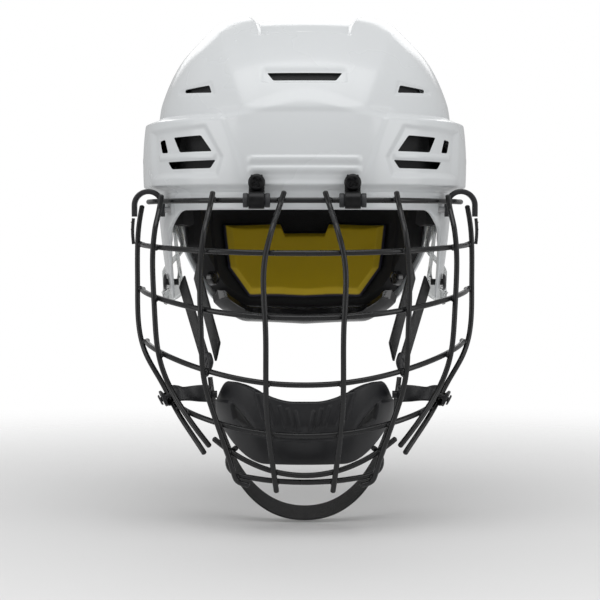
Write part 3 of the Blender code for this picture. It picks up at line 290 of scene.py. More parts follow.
def front_relief(point):
    """How far the front shell's moulded details stand out (+) or in (-) at each point of the form."""
    x, y, z = np.abs(point[..., 0]), point[..., 1], point[..., 2]
    facing = ease(y, 0.020, 0.000)
    out = crease(line_distance(x, z, PANEL_CREASE), 0.0011, 0.013)
    out = out + crease(line_distance(x, z, FLANK_CREASE), 0.0012, 0.014)
    out = out - 0.0016 * inside(x, z, TEMPLE_HOLLOW, 0.0045) * ease(y, -0.020, -0.035)
    bridge = ((0.100, -0.0690), (0.0600, -0.0690), (0.0600, -0.0722), (0.100, -0.0722))
    out = out + 0.0007 * inside(x, z, bridge, 0.002)
    out = out - 0.0009 * inside(x, z, FOREHEAD_PANEL, 0.0045)
    for top in (-0.0700, -0.0768):
        rib = ease(z, top, top - 0.0018) * ease(z, top - 0.0068, top - 0.0026)
        out = out + 0.0011 * rib * ease(x, 0.0385, 0.0345)
    scoop = ease(z, -0.0095, -0.0150) * ease(z, -0.0216, -0.0206) * ease(x, 0.0300, 0.0262)
    out = out - 0.0019 * scoop
    wedge = ((0.0850, -0.0250), (0.0630, -0.0195), (0.0605, -0.0285), (0.0850, -0.0272))
    out = out - 0.0008 * inside(x, z, wedge, 0.0022)
    out = out - 0.0006 * ease(np.abs(z - (BAND_BOTTOM - 0.0045)), 0.0011, 0.0002) * ease(x, 0.030, 0.045)
    return out * facing


def rear_relief(point):
    """Rear shell details: a sunk middle panel with two soft ribs, and hollows for the side vents."""
    x, y, z = np.abs(point[..., 0]), point[..., 1], point[..., 2]
    panel = ((-0.060, -0.0560), (0.060, -0.0560), (0.044, -0.1500), (-0.044, -0.1500))
    out = -0.0010 * inside(x, z, panel, 0.005)
    for top in (-0.1180, -0.1280):
        rib = ease(z, top, top - 0.002) * ease(z, top - 0.0085, top - 0.003)
        out = out + 0.0011 * rib * ease(x, 0.034, 0.029)
    hollow = ((0.104, -0.0560), (0.066, -0.0560), (0.062, -0.0880), (0.100, -0.0880))
    return (out - 0.0014 * inside(x, z, hollow, 0.004)) * ease(y, 0.060, 0.080)


# ---------------------------------------------------------------- meshes
def grid(rows, columns, wrap=False, start=0):
    """Quads of a rows x columns grid, and each corner's own row and column without wrapping."""
    i, j = np.meshgrid(np.arange(rows - 1), np.arange(columns if wrap else columns - 1), indexing="ij")
    i, j = i.ravel(), j.ravel()
    row, column = np.stack([i, i, i + 1, i + 1], 1), np.stack([j, j + 1, j + 1, j], 1)
    return start + row * columns + column % columns, np.stack([column, row], -1).astype(float)


def mesh_from(name, points, quads, triangles=None, corner_uv=None):
    """A mesh from point, quad and triangle arrays, with an optional uv for every quad corner."""
    quads = np.asarray(quads, np.int32).reshape(-1, 4)
    triangles = np.zeros((0, 3)) if triangles is None else triangles
    triangles = np.asarray(triangles, np.int32).reshape(-1, 3)
    mesh = bpy.data.meshes.new(name)
    mesh.vertices.add(len(points))
    mesh.vertices.foreach_set("co", np.asarray(points, np.float32).ravel())
    corners = np.concatenate([quads.ravel(), triangles.ravel()])
    mesh.loops.add(len(corners))
    mesh.loops.foreach_set("vertex_index", corners)
    starts = np.concatenate([np.arange(len(quads)) * 4, 4 * len(quads) + np.arange(len(triangles)) * 3])
    mesh.polygons.add(len(starts))
    mesh.polygons.foreach_set("loop_start", starts.astype(np.int32))
    if corner_uv is not None:
        layer = mesh.uv_layers.new(name="along")
        uv = np.zeros((len(corners), 2), np.float32)
        uv[:quads.size] = np.asarray(corner_uv, np.float32).reshape(-1, 2)
        layer.data.foreach_set("uv", uv.ravel())
    mesh.update(calc_edges=True)
    mesh.validate()
    return mesh


def face_out(mesh, merge=True):
    """Merges doubles and turns every face of a closed mesh outwards."""
    work = bmesh.new()
    work.from_mesh(mesh)
    if merge:
        bmesh.ops.remove_doubles(work, verts=work.verts, dist=1e-6)
    bmesh.ops.recalc_face_normals(work, faces=work.faces)
    if work.calc_volume(signed=True) < 0:
        bmesh.ops.reverse_faces(work, faces=work.faces)
    work.to_mesh(mesh)
    work.free()


def piece(name, mesh, material, body, slot, stands_for=(), sharp=40.0, out=True):
    """Links a mesh as one finished piece: faces out, smooth with sharp corners, riding on its body."""
    if out:
        face_out(mesh)
    mesh.shade_smooth()
    mesh.set_sharp_from_angle(angle=radians(sharp))
    mesh.materials.append(material)
    obj = bpy.data.objects.new(name, mesh)
    bpy.context.scene.collection.objects.link(obj)
    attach(obj, body)
    if stands_for:
        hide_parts(*stands_for)
    return obj


def closed_wall(surface, u, v, near, far, wrap=False, rim=0.0):
    """Points, quads and uv of the closed wall between two offsets of surface(u, v).

    near and far may be arrays over the grid; rim rounds the free edges: both faces close up
    towards their middle by a quarter circle over the outermost rim of the grid's own length.
    """
    uu, vv = np.meshgrid(u, v)
    base, normal = surface(uu, vv), normals_of(surface, uu, vv)
    near, far = np.broadcast_to(near, uu.shape), np.broadcast_to(far, uu.shape)
    if rim:
        run_v = np.concatenate([np.zeros((1, uu.shape[1])),
                                np.cumsum(np.linalg.norm(np.diff(base, axis=0), axis=-1), axis=0)])
        edge = np.minimum(run_v, run_v[-1:] - run_v)
        if not wrap:
            run_u = np.concatenate([np.zeros((uu.shape[0], 1)),
                                    np.cumsum(np.linalg.norm(np.diff(base, axis=1), axis=-1), axis=1)],
                                   axis=1)
            edge = np.minimum(edge, np.minimum(run_u, run_u[:, -1:] - run_u))
        share = np.sqrt(1 - (1 - np.clip(edge / rim, 0, 1))**2)
        middle, half = (near + far) / 2, (near - far) / 2 * np.maximum(share, 0.02)
        near, far = middle + half, middle - half
    rows, columns = uu.shape
    size = rows * columns
    points = np.concatenate([(base + near[..., None] * normal).reshape(-1, 3),
                             (base + far[..., None] * normal).reshape(-1, 3)])
    front, cell = grid(rows, columns, wrap)
    back = front[:, ::-1] + size
    rims = [(np.arange(columns), wrap), (np.arange(columns) + (rows - 1) * columns, wrap)]
    if not wrap:
        rims += [(np.arange(rows) * columns, False), (np.arange(rows) * columns + columns - 1, False)]
    sides = []
    for line, closed in rims:
        a, b = (line, np.roll(line, -1)) if closed else (line[:-1], line[1:])
        sides.append(np.stack([a, b, b + size, a + size], 1))
    sides = np.concatenate(sides)
    wide = np.linalg.norm(np.diff(base, axis=1), axis=-1).mean() * 1.0
    tall = np.linalg.norm(np.diff(base, axis=0), axis=-1).mean() * 1.0
    uv = cell * np.array([wide, tall])
    corner_uv = np.concatenate([uv, uv[:, ::-1], np.zeros((len(sides), 4, 2))])
    return points, np.concatenate([front, back, sides]), corner_uv


def wall(name, surface, u, v, near, far, material, body, slot, stands_for=(), wrap=False, rim=0.0,
         sharp=40.0):
    """A finished piece made of one closed wall."""
    points, quads, uv = closed_wall(surface, u, v, near, far, wrap, rim)
    return piece(name, mesh_from(name, points, quads, None, uv), material, body, slot, stands_for, sharp)


def tube_mesh(name, path, radius, reference, sides=14, closed=False, cap=1.0):
    """A circle of the given radius carried along a path, with domed ends cap radii long; uv in metres."""
    path = np.array(path, float)
    radius = np.broadcast_to(np.asarray(radius, float), (len(path),)).copy()
    if closed:
        ahead = unit(np.roll(path, -1, axis=0) - np.roll(path, 1, axis=0))
    else:
        ahead = unit(np.gradient(path, axis=0))
        swell = np.radians([88.0, 62.0, 36.0, 14.0])
        first = path[0] - ahead[0] * (radius[0] * cap * np.sin(swell))[:, None]
        last = path[-1] + ahead[-1] * (radius[-1] * cap * np.sin(swell))[::-1, None]
        path = np.concatenate([first, path, last])
        ahead = np.concatenate([np.repeat(ahead[:1], 4, 0), ahead, np.repeat(ahead[-1:], 4, 0)])
        radius = np.concatenate([radius[0] * np.cos(swell), radius, radius[-1] * np.cos(swell)[::-1]])
    across = unit(np.cross(ahead, np.broadcast_to(np.array(reference, float), ahead.shape)))
    over = np.cross(across, ahead)
    turn = np.linspace(0, 2 * pi, sides, endpoint=False)
    ring = np.cos(turn)[None, :, None] * across[:, None] + np.sin(turn)[None, :, None] * over[:, None]
    points = (path[:, None] + radius[:, None, None] * ring).reshape(-1, 3)
    rows = len(path)
    quads, cell = grid(rows, sides, True)
    run = np.concatenate([[0], np.cumsum(np.linalg.norm(np.diff(path, axis=0), axis=1))])
    uv = np.stack([cell[..., 0] / sides * 2 * pi * radius.max(), run[cell[..., 1].astype(int)]], -1)
    triangles = None
    if closed:
        j = np.arange(sides)
        k = (j + 1) % sides
        seam = np.stack([(rows - 1) * sides + j, (rows - 1) * sides + k, k, j], 1)
        quads = np.concatenate([quads, seam])
        uv = np.concatenate([uv, np.zeros((sides, 4, 2))])
    else:
        points = np.concatenate([points, path[:1] - ahead[:1] * 0, path[-1:]])
        j = np.arange(sides)
        k = (j + 1) % sides
        tip, top = rows * sides, rows * sides + 1
        triangles = np.concatenate([np.stack([np.full(sides, tip), k, j], 1),
                                    np.stack([np.full(sides, top), (rows - 1) * sides + j,
                                              (rows - 1) * sides + k], 1)])
    return mesh_from(name, points, quads, triangles, uv)


def strip_mesh(name, path, across, width, thickness, corner=4.0, sides=20):
    """A superellipse section |a|^corner + |b|^corner = 1 carried along a path: a soft-edged flat strip."""
    path = np.array(path, float)
    ahead = unit(np.gradient(path, axis=0))
    across = np.broadcast_to(np.array(across, float), path.shape)
    across = unit(across - (across * ahead).sum(1, keepdims=True) * ahead)
    through = np.cross(ahead, across)
    width = np.broadcast_to(np.asarray(width, float), (len(path),))
    thickness = np.broadcast_to(np.asarray(thickness, float), (len(path),))
    turn = np.linspace(0, 2 * pi, sides, endpoint=False) + pi / sides
    a = np.sign(np.cos(turn)) * np.abs(np.cos(turn))**(2 / corner)
    b = np.sign(np.sin(turn)) * np.abs(np.sin(turn))**(2 / corner)
    ring = (a[None, :, None] * (width / 2)[:, None, None] * across[:, None]
            + b[None, :, None] * (thickness / 2)[:, None, None] * through[:, None])
    points = (path[:, None] + ring).reshape(-1, 3)
    rows = len(path)
    quads, cell = grid(rows, sides, True)
    run = np.concatenate([[0], np.cumsum(np.linalg.norm(np.diff(path, axis=0), axis=1))])
    place = (a + 1) / 2 * width.max()
    uv = np.stack([place[cell[..., 0].astype(int) % sides], run[cell[..., 1].astype(int)]], -1)
    points = np.concatenate([points, path[:1], path[-1:]])
    j = np.arange(sides)
    k = (j + 1) % sides
    triangles = np.concatenate([np.stack([np.full(sides, rows * sides), k, j], 1),
                                np.stack([np.full(sides, rows * sides + 1), (rows - 1) * sides + j,
                                          (rows - 1) * sides + k], 1)])
    return mesh_from(name, points, quads, triangles, uv)


def turned_mesh(name, profile, centre, axis, sides=40):
    """A profile of (radius, height) turned round an axis through centre; a radius of 0 closes an end."""
    profile = np.array(profile, float)
    axis = unit(np.array(axis, float))
    helper = np.array([0, 0, 1.0]) if abs(axis[2]) < 0.9 else np.array([1.0, 0, 0])
    across = unit(np.cross(axis, helper))
    over = np.cross(axis, across)
    turn = np.linspace(0, 2 * pi, sides, endpoint=False)
    ring = np.cos(turn)[:, None] * across + np.sin(turn)[:, None] * over
    points = (np.array(centre, float) + profile[:, None, 1:2] * axis + profile[:, None, :1] * ring[None])
    rows = len(profile)
    quads, _ = grid(rows, sides, True)
    if profile[0, 0] > 0 or profile[-1, 0] > 0:
        j = np.arange(sides)
        k = (j + 1) % sides
        quads = np.concatenate([quads, np.stack([(rows - 1) * sides + j, (rows - 1) * sides + k, k, j],
                                                1)])
    return mesh_from(name, points.reshape(-1, 3), quads)


def joined(name, meshes):
    """Several meshes as one, points and faces in order."""
    work = bmesh.new()
    for mesh in meshes:
        work.from_mesh(mesh)
    whole = bpy.data.meshes.new(name)
    work.to_mesh(whole)
    work.free()
    return whole


# ---------------------------------------------------------------- finishes
def add(tree, kind, place=(0, 0), **values):
    """A node with its inputs set by name."""
    node = tree.nodes.new(kind)
    node.location = place
    for key, value in values.items():
        name = key.replace("_", " ")
        if name in node.inputs:
            node.inputs[name].default_value = value
        else:
            setattr(node, key, value)
    return node


def group_with(name, inputs, outputs):
    """An empty shader node group with float inputs (name, default) and float outputs."""
    group = bpy.data.node_groups.new(name, "ShaderNodeTree")
    for label, default in inputs:
        socket = group.interface.new_socket(name=label, in_out="INPUT", socket_type="NodeSocketFloat")
        socket.default_value = default
    for label in outputs:
        group.interface.new_socket(name=label, in_out="OUTPUT", socket_type="NodeSocketFloat")
    return group, group.nodes.new("NodeGroupInput"), group.nodes.new("NodeGroupOutput")


def make_grain_group():
    """Moulded grain: two sizes of noise on object coordinates, as a height and a slow drift."""
    group, given, result = group_with("moulded grain", [("Size", 900.0), ("Coarse", 40.0)],
                                      ["Height", "Drift"])
    place = add(group, "ShaderNodeTexCoord")
    fine = add(group, "ShaderNodeTexNoise", Detail=3.0, Roughness=0.6)
    slow = add(group, "ShaderNodeTexNoise", Detail=4.0, Roughness=0.55)
    group.links.new(place.outputs["Object"], fine.inputs["Vector"])
    group.links.new(place.outputs["Object"], slow.inputs["Vector"])
    group.links.new(given.outputs["Size"], fine.inputs["Scale"])
    group.links.new(given.outputs["Coarse"], slow.inputs["Scale"])
    group.links.new(fine.outputs["Fac"], result.inputs["Height"])
    group.links.new(slow.outputs["Fac"], result.inputs["Drift"])
    return group


def make_cell_group():
    """Closed cells: the distance to each cell's middle, as a height."""
    group, given, result = group_with("foam cells", [("Size", 900.0)], ["Height"])
    place = add(group, "ShaderNodeTexCoord")
    cells = add(group, "ShaderNodeTexVoronoi", feature="F1")
    group.links.new(place.outputs["Object"], cells.inputs["Vector"])
    group.links.new(given.outputs["Size"], cells.inputs["Scale"])
    group.links.new(cells.outputs["Distance"], result.inputs["Height"])
    return group


def make_weave_group():
    """Webbing: ribs across the strip crossed by fine yarns along it, from the strip's own uv in metres."""
    group, given, result = group_with("webbing weave", [("Rib", 0.0016), ("Yarn", 0.0009)],
                                      ["Height", "Shade"])
    uv = add(group, "ShaderNodeUVMap", uv_map="along")
    parts = add(group, "ShaderNodeSeparateXYZ")
    group.links.new(uv.outputs["UV"], parts.inputs["Vector"])
    waves = []
    for axis, label in (("Y", "Rib"), ("X", "Yarn")):
        share = add(group, "ShaderNodeMath", operation="DIVIDE")
        group.links.new(parts.outputs[axis], share.inputs[0])
        group.links.new(given.outputs[label], share.inputs[1])
        turns = add(group, "ShaderNodeMath", operation="MULTIPLY")
        group.links.new(share.outputs[0], turns.inputs[0])
        turns.inputs[1].default_value = 2 * pi
        wave = add(group, "ShaderNodeMath", operation="SINE")
        group.links.new(turns.outputs[0], wave.inputs[0])
        size = add(group, "ShaderNodeMath", operation="ABSOLUTE")
        group.links.new(wave.outputs[0], size.inputs[0])
        waves.append(size)
    both = add(group, "ShaderNodeMath", operation="MULTIPLY")
    group.links.new(waves[0].outputs[0], both.inputs[0])
    group.links.new(waves[1].outputs[0], both.inputs[1])
    lift = add(group, "ShaderNodeMath", operation="ADD")
    group.links.new(both.outputs[0], lift.inputs[0])
    group.links.new(waves[0].outputs[0], lift.inputs[1])
    group.links.new(lift.outputs[0], result.inputs["Height"])
    group.links.new(both.outputs[0], result.inputs["Shade"])
    return group


GRAIN = make_grain_group()
CELLS = make_cell_group()
WEAVE = make_weave_group()


def finish(name, dark, light, roughness, rough_spread=0.08, group=None, group_values=None, bump=0.2,
           bump_size=0.0002, coarse=40.0, **shader_values):
    """A Principled finish: drift mixes dark to light and spreads the roughness, height feeds a bump."""
    material = bpy.data.materials.new(name)
    material.use_nodes = True
    tree = material.node_tree
    shader = tree.nodes["Principled BSDF"]
    for key, value in shader_values.items():
        shader.inputs[key.replace("_", " ")].default_value = value
    drift = add(tree, "ShaderNodeGroup", (-700, 100))
    drift.node_tree = GRAIN
    drift.inputs["Coarse"].default_value = coarse
    height = drift
    if group is not None:
        height = add(tree, "ShaderNodeGroup", (-700, -200))
        height.node_tree = group
    for key, value in (group_values or {}).items():
        height.inputs[key].default_value = value
    ramp = add(tree, "ShaderNodeMix", (-400, 200), data_type="RGBA")
    ramp.inputs["A"].default_value = (*dark, 1)
    ramp.inputs["B"].default_value = (*light, 1)
    tree.links.new(drift.outputs["Drift"], ramp.inputs["Factor"])
    tree.links.new(ramp.outputs["Result"], shader.inputs["Base Color"])
    spread = add(tree, "ShaderNodeMapRange", (-400, 0))
    spread.inputs["To Min"].default_value = roughness - rough_spread / 2
    spread.inputs["To Max"].default_value = roughness + rough_spread / 2
    spread.inputs["From Min"].default_value = 0.3
    spread.inputs["From Max"].default_value = 0.7
    tree.links.new(drift.outputs["Drift"], spread.inputs["Value"])
    tree.links.new(spread.outputs["Result"], shader.inputs["Roughness"])
    relief = add(tree, "ShaderNodeBump", (-400, -250), Strength=bump, Distance=bump_size)
    tree.links.new(height.outputs["Height"], relief.inputs["Height"])
    tree.links.new(relief.outputs["Normal"], shader.inputs["Normal"])
    return material


def darken_by(material, attribute, colour):
    """Mixes a colour over a finish where a point attribute says so."""
    tree = material.node_tree
    shader = tree.nodes["Principled BSDF"]
    before = shader.inputs["Base Color"].links[0].from_socket
    mask = add(tree, "ShaderNodeAttribute", (-400, 500), attribute_name=attribute)
    mix = add(tree, "ShaderNodeMix", (-150, 350), data_type="RGBA")
    tree.links.new(mask.outputs["Fac"], mix.inputs["Factor"])
    tree.links.new(before, mix.inputs["A"])
    mix.inputs["B"].default_value = (*colour, 1)
    tree.links.new(mix.outputs["Result"], shader.inputs["Base Color"])
    return material


def point_values(mesh, name, values):
    """Stores one number per point as a named attribute."""
    layer = mesh.attributes.new(name, "FLOAT", "POINT")
    layer.data.foreach_set("value", np.asarray(values, np.float32).ravel())


SHELL = finish("glossy white shell", (0.775, 0.80, 0.815), (0.815, 0.84, 0.855), 0.27, 0.06, bump=0.05,
               bump_size=0.0003, group_values={"Size": 260.0}, coarse=9.0, Coat_Weight=0.35,
               Coat_Roughness=0.12)
CAGE_COAT = finish("black dipped wire", (0.005, 0.0052, 0.006), (0.009, 0.0092, 0.010), 0.27, 0.12,
                   bump=0.12,
                   bump_size=0.0002, group_values={"Size": 700.0}, coarse=60.0)
BLACKED = finish("blackened steel", (0.012, 0.012, 0.013), (0.035, 0.035, 0.036), 0.34, 0.14, bump=0.15,
                 group_values={"Size": 1600.0}, coarse=180.0, Metallic=0.85)
PLATED = finish("plated steel", (0.42, 0.42, 0.43), (0.58, 0.58, 0.58), 0.32, 0.12, bump=0.1,
                group_values={"Size": 1400.0}, coarse=200.0, Metallic=1.0)
RUBBER = finish("soft grey rubber", (0.026, 0.027, 0.030), (0.043, 0.044, 0.048), 0.52, 0.1, bump=0.25,
                group_values={"Size": 1500.0}, coarse=90.0)
PLASTIC = finish("textured black plastic", (0.014, 0.014, 0.016), (0.024, 0.024, 0.027), 0.44, 0.1,
                 bump=0.3,
                 group_values={"Size": 1300.0}, coarse=50.0)
CUP_PLASTIC = finish("satin chin cup", (0.008, 0.0083, 0.010), (0.013, 0.0133, 0.016), 0.42, 0.08,
                     bump=0.2,
                     group_values={"Size": 1500.0}, coarse=45.0)
NAPE = finish("polished nape trim", (0.012, 0.012, 0.013), (0.020, 0.020, 0.021), 0.16, 0.05, bump=0.08,
              group_values={"Size": 500.0}, coarse=45.0, Coat_Weight=0.6, Coat_Roughness=0.08)
FOAM = finish("closed cell foam", (0.008, 0.008, 0.0085), (0.016, 0.0155, 0.016), 0.86, 0.06, CELLS,
              {"Size": 800.0}, bump=0.5, bump_size=0.0003, coarse=30.0)
GREY_FOAM = finish("grey edge foam", (0.022, 0.0225, 0.024), (0.034, 0.0345, 0.036), 0.82, 0.06, CELLS,
                   {"Size": 900.0}, bump=0.45, bump_size=0.0003, coarse=30.0)
PAD_SKIN = finish("brushed pad fabric", (0.010, 0.010, 0.011), (0.019, 0.019, 0.020), 0.92, 0.04,
                  bump=0.6,
                  bump_size=0.0003, group_values={"Size": 1900.0}, coarse=70.0, Sheen_Weight=0.25,
                  Sheen_Roughness=0.5)
YELLOW = finish("yellow moulded pad", (0.60, 0.42, 0.004), (0.69, 0.485, 0.007), 0.60, 0.08, bump=0.2,
                group_values={"Size": 1100.0}, coarse=30.0)
CLEAR = finish("clear ear plastic", (0.86, 0.88, 0.88), (0.92, 0.94, 0.94), 0.10, 0.05, bump=0.04,
               group_values={"Size": 200.0}, coarse=30.0, Transmission_Weight=0.92, IOR=1.45)
WEB = finish("ribbed webbing", (0.008, 0.008, 0.009), (0.016, 0.016, 0.018), 0.80, 0.08, WEAVE, None,
             bump=0.9,
             bump_size=0.0005, coarse=120.0, Sheen_Weight=0.2)
THREAD = finish("sewing thread", (0.30, 0.27, 0.21), (0.42, 0.38, 0.30), 0.75, 0.08, bump=0.4,
                group_values={"Size": 2500.0}, coarse=300.0)
darken_by(YELLOW, "edge_paint", (0.010, 0.010, 0.030))


# ---------------------------------------------------------------- shells
def dome_mesh(name, angles, heights, relief, near, far, crown_rows, skip=4):
    """Closed dome: the form plus its relief outside, the plain form inside, joined round a rounded edge.

    Rows run from the shaped edge up through the given heights, then close in on the pole.
    """
    edge = level_at(edge_height(angles))
    first = level_at(heights[0])
    low = [edge + (first - edge) * share for share in np.linspace(0, 1, 21)[:-1]]
    rows = low + [np.full_like(angles, level) for level in level_at(np.array(heights))]
    top = float(level_at(heights[-1]))
    pole = len(HELMET_STATIONS) - 1.02
    half = np.linspace(float(station(np.array(top))[1]), float(station(np.array(pole))[1]),
                       crown_rows)[1:]
    fine = np.linspace(top, pole, 600)
    closing = np.interp(-half, -station(fine)[1], fine)
    rows += [np.full_like(angles, level) for level in closing]
    angle, level = np.broadcast_arrays(angles[None, :], np.array(rows))
    base = shell_surface(angle, level)
    normal = normals_of(shell_surface, angle, level)
    normal[-1] = (0, 0, 1)
    thin = np.ones(len(rows))
    thin[:4] = (0.45, 0.78, 0.94, 0.995)
    middle, half = (near + far) / 2, (near - far) / 2
    outer = base + ((middle + half * thin)[:, None] + relief(base))[..., None] * normal
    inner = base + (middle - half * thin)[:, None, None] * normal
    inner = inner[np.unique(np.concatenate([np.arange(5), np.arange(5, len(rows), skip),
                                            [len(rows) - 1]]))]
    count, total, within = len(angles), len(rows), len(inner)
    size = count * total
    points = np.concatenate([outer.reshape(-1, 3), inner.reshape(-1, 3), outer[-1:].mean(1),
                             inner[-1:].mean(1)])
    front, _ = grid(total, count, True)
    back, _ = grid(within, count, True, size)
    k, m = np.arange(count), (np.arange(count) + 1) % count
    skirt = np.stack([k, m, size + m, size + k], 1)
    tip = size + count * within
    ring, inner_ring = size - count, tip - count
    caps = np.concatenate([np.stack([ring + k, ring + m, np.full(count, tip)], 1),
                           np.stack([inner_ring + m, inner_ring + k, np.full(count, tip + 1)], 1)])
    return mesh_from(name, points, np.concatenate([front, back[:, ::-1], skirt]), caps)


def prism(name, corners, y_from, y_to, rounding=0.0011):
    """A cutter with an (x, z) outline, its corners rounded by quadratic arcs, run straight along y."""
    corners = np.array(corners, float)
    before, after = np.roll(corners, 1, 0) - corners, np.roll(corners, -1, 0) - corners
    start = corners + unit(before) * np.minimum(rounding, np.linalg.norm(before, axis=1) / 2.2)[:, None]
    end = corners + unit(after) * np.minimum(rounding, np.linalg.norm(after, axis=1) / 2.2)[:, None]
    t = np.linspace(0, 1, 6)[None, :, None]
    outline = ((1 - t)**2 * start[:, None] + 2 * t * (1 - t) * corners[:, None] + t**2
               * end[:, None]).reshape(-1, 2)
    count = len(outline)
    depth = np.linspace(y_from, y_to, 2)
    points = np.stack([np.tile(outline[:, 0], 2), np.repeat(depth, count), np.tile(outline[:, 1], 2)],
                      -1)
    k, m = np.arange(count), (np.arange(count) + 1) % count
    middle = np.array([[*outline.mean(0)]])
    points = np.concatenate([points, [[middle[0, 0], y_from, middle[0, 1]],
                                      [middle[0, 0], y_to, middle[0, 1]]]])
    ends = np.concatenate([np.stack([k, m, np.full(count, 2 * count)], 1),
                           np.stack([count + m, count + k, np.full(count, 2 * count + 1)], 1)])
    mesh = mesh_from(name, points, np.stack([k, m, count + m, count + k], 1), ends)
    face_out(mesh)
    return mesh


def kept_part(mesh, y, front, turn=True):
    """The part of a closed mesh in front of (or behind) a y plane, its cut face filled."""
    work = bmesh.new()
    work.from_mesh(mesh)
    if turn:
        bmesh.ops.recalc_face_normals(work, faces=work.faces)
        if work.calc_volume(signed=True) < 0:
            bmesh.ops.reverse_faces(work, faces=work.faces)
    whole = [*work.verts, *work.edges, *work.faces]
    bmesh.ops.bisect_plane(work, geom=whole, dist=1e-7, plane_co=(0, y, 0),
                           plane_no=(0, 1 if front else -1, 0),
                           clear_outer=True)
    open_edges = [edge for edge in work.edges if edge.is_boundary]
    bmesh.ops.holes_fill(work, edges=open_edges, sides=0)
    work.to_mesh(mesh)
    work.free()
    return mesh


def carved(mesh, cutters, turn=True):
    """The mesh after an exact Boolean with each cutter; the working objects are removed again."""
    if turn:
        face_out(mesh)
    body = bpy.data.objects.new("blank", mesh)
    bpy.context.scene.collection.objects.link(body)
    helpers = []
    for cutter in cutters:
        helper = bpy.data.objects.new("cutter", cutter)
        bpy.context.scene.collection.objects.link(helper)
        modifier = body.modifiers.new("cut", "BOOLEAN")
        modifier.object, modifier.operation, modifier.solver = helper, "DIFFERENCE", "EXACT"
        helpers.append(helper)
    bpy.context.view_layer.update()
    ready = body.evaluated_get(bpy.context.evaluated_depsgraph_get())
    result = bpy.data.meshes.new_from_object(ready)
    for obj in [body, *helpers]:
        bpy.data.objects.remove(obj, do_unlink=True)
    return result


def flipped(corners):
    """An outline mirrored to the other side."""
    return [(-x, z) for x, z in corners][::-1]


def spread_angles(count, fine_half, share):
    """Angles right round: the given share of them lie evenly within fine_half of the front."""
    front = np.linspace(-fine_half, fine_half, int(count * share))
    back = np.linspace(fine_half, 2 * pi - fine_half, count - len(front) + 2)[1:-1]
    return np.concatenate([front, back])


def build_shells():
    heights = np.concatenate([np.linspace(-0.0975, -0.048, 76), np.linspace(-0.0474, -0.010, 48),
                              np.linspace(-0.0092, 0.0275, 44)])
    mesh = dome_mesh("front_shell", spread_angles(400, radians(72), 0.80), heights, front_relief, 0.0,
                     -SHELL_WALL, 36)
    mesh = kept_part(mesh, SEAM_Y, True)
    cutters = [prism("vent", CENTRE_VENT, -0.14, -0.07)]
    for vent in (WEDGE_VENT, BIG_VENT, SLOT_VENT, SMALL_VENT):
        reach = -0.035 if vent is not SMALL_VENT else -0.030
        cutters += [prism("vent", vent, -0.13, reach), prism("vent", flipped(vent), -0.13, reach)]
    front = piece("front_shell_skin", carved(mesh, cutters), SHELL, "helmet", "shell_white",
                  ["front_shell"],
                  sharp=38.0, out=False)
    heights = np.linspace(-0.0975, 0.0275, 80)
    mesh = dome_mesh("rear_shell", np.linspace(0, 2 * pi, 260, endpoint=False) + 0.001, heights,
                     rear_relief,
                     REAR_OUTER, REAR_INNER, 24, skip=1)
    cutters = []
    middle_vent = ((-0.026, -0.0680), (0.026, -0.0680), (0.021, -0.0800), (-0.021, -0.0800))
    side_vents = (((0.094, -0.0610), (0.072, -0.0610), (0.069, -0.0700), (0.092, -0.0700)),
                  ((0.091, -0.0750), (0.068, -0.0750), (0.066, -0.0830), (0.089, -0.0830)))
    cutters.append(prism("vent", middle_vent, 0.10, 0.16))
    notch = ((-CHANNEL_HALF, 0.05), (CHANNEL_HALF, 0.05), (CHANNEL_HALF, 0.0), (-CHANNEL_HALF, 0.0))
    cutters.append(prism("notch", notch, -0.02, SEAM_Y - CROWN_OVERLAP))
    for vent in side_vents:
        cutters += [prism("vent", vent, 0.06, 0.16), prism("vent", flipped(vent), 0.06, 0.16)]
    mesh = kept_part(carved(mesh, cutters, False), SEAM_Y - OVERLAP, False, False)
    piece("rear_shell_skin", mesh, SHELL, "rear", "shell_white", ["rear_shell"], sharp=38.0, out=False)
    return front


# ---------------------------------------------------------------- foam and pads
def level_band(low, high):
    """A surface on the plain helmet form whose second parameter runs 0 to 1 between two heights."""
    low, high = float(level_at(low)), float(level_at(high))
    return lambda angle, share: plain_surface(angle, low + (high - low) * share)


def side_foam(angle, share):
    """Side foam form: down to the shell's edge at the temple, cut away above the ear."""
    bottom = -0.118 + 0.020 * ease(np.degrees(np.abs(angle)), 69.0, 75.0)
    return plain_surface(angle, level_at(bottom + (-0.020 - bottom) * share))


def cushioned(u, v, thick, sag=0.28, power=3.0):
    """Thickness of a pad over unit u, v in -1..1: full in the middle, thinning by sag to its edges."""
    return thick * (1 - sag * (np.abs(u)**power + np.abs(v)**power) / 1.4)


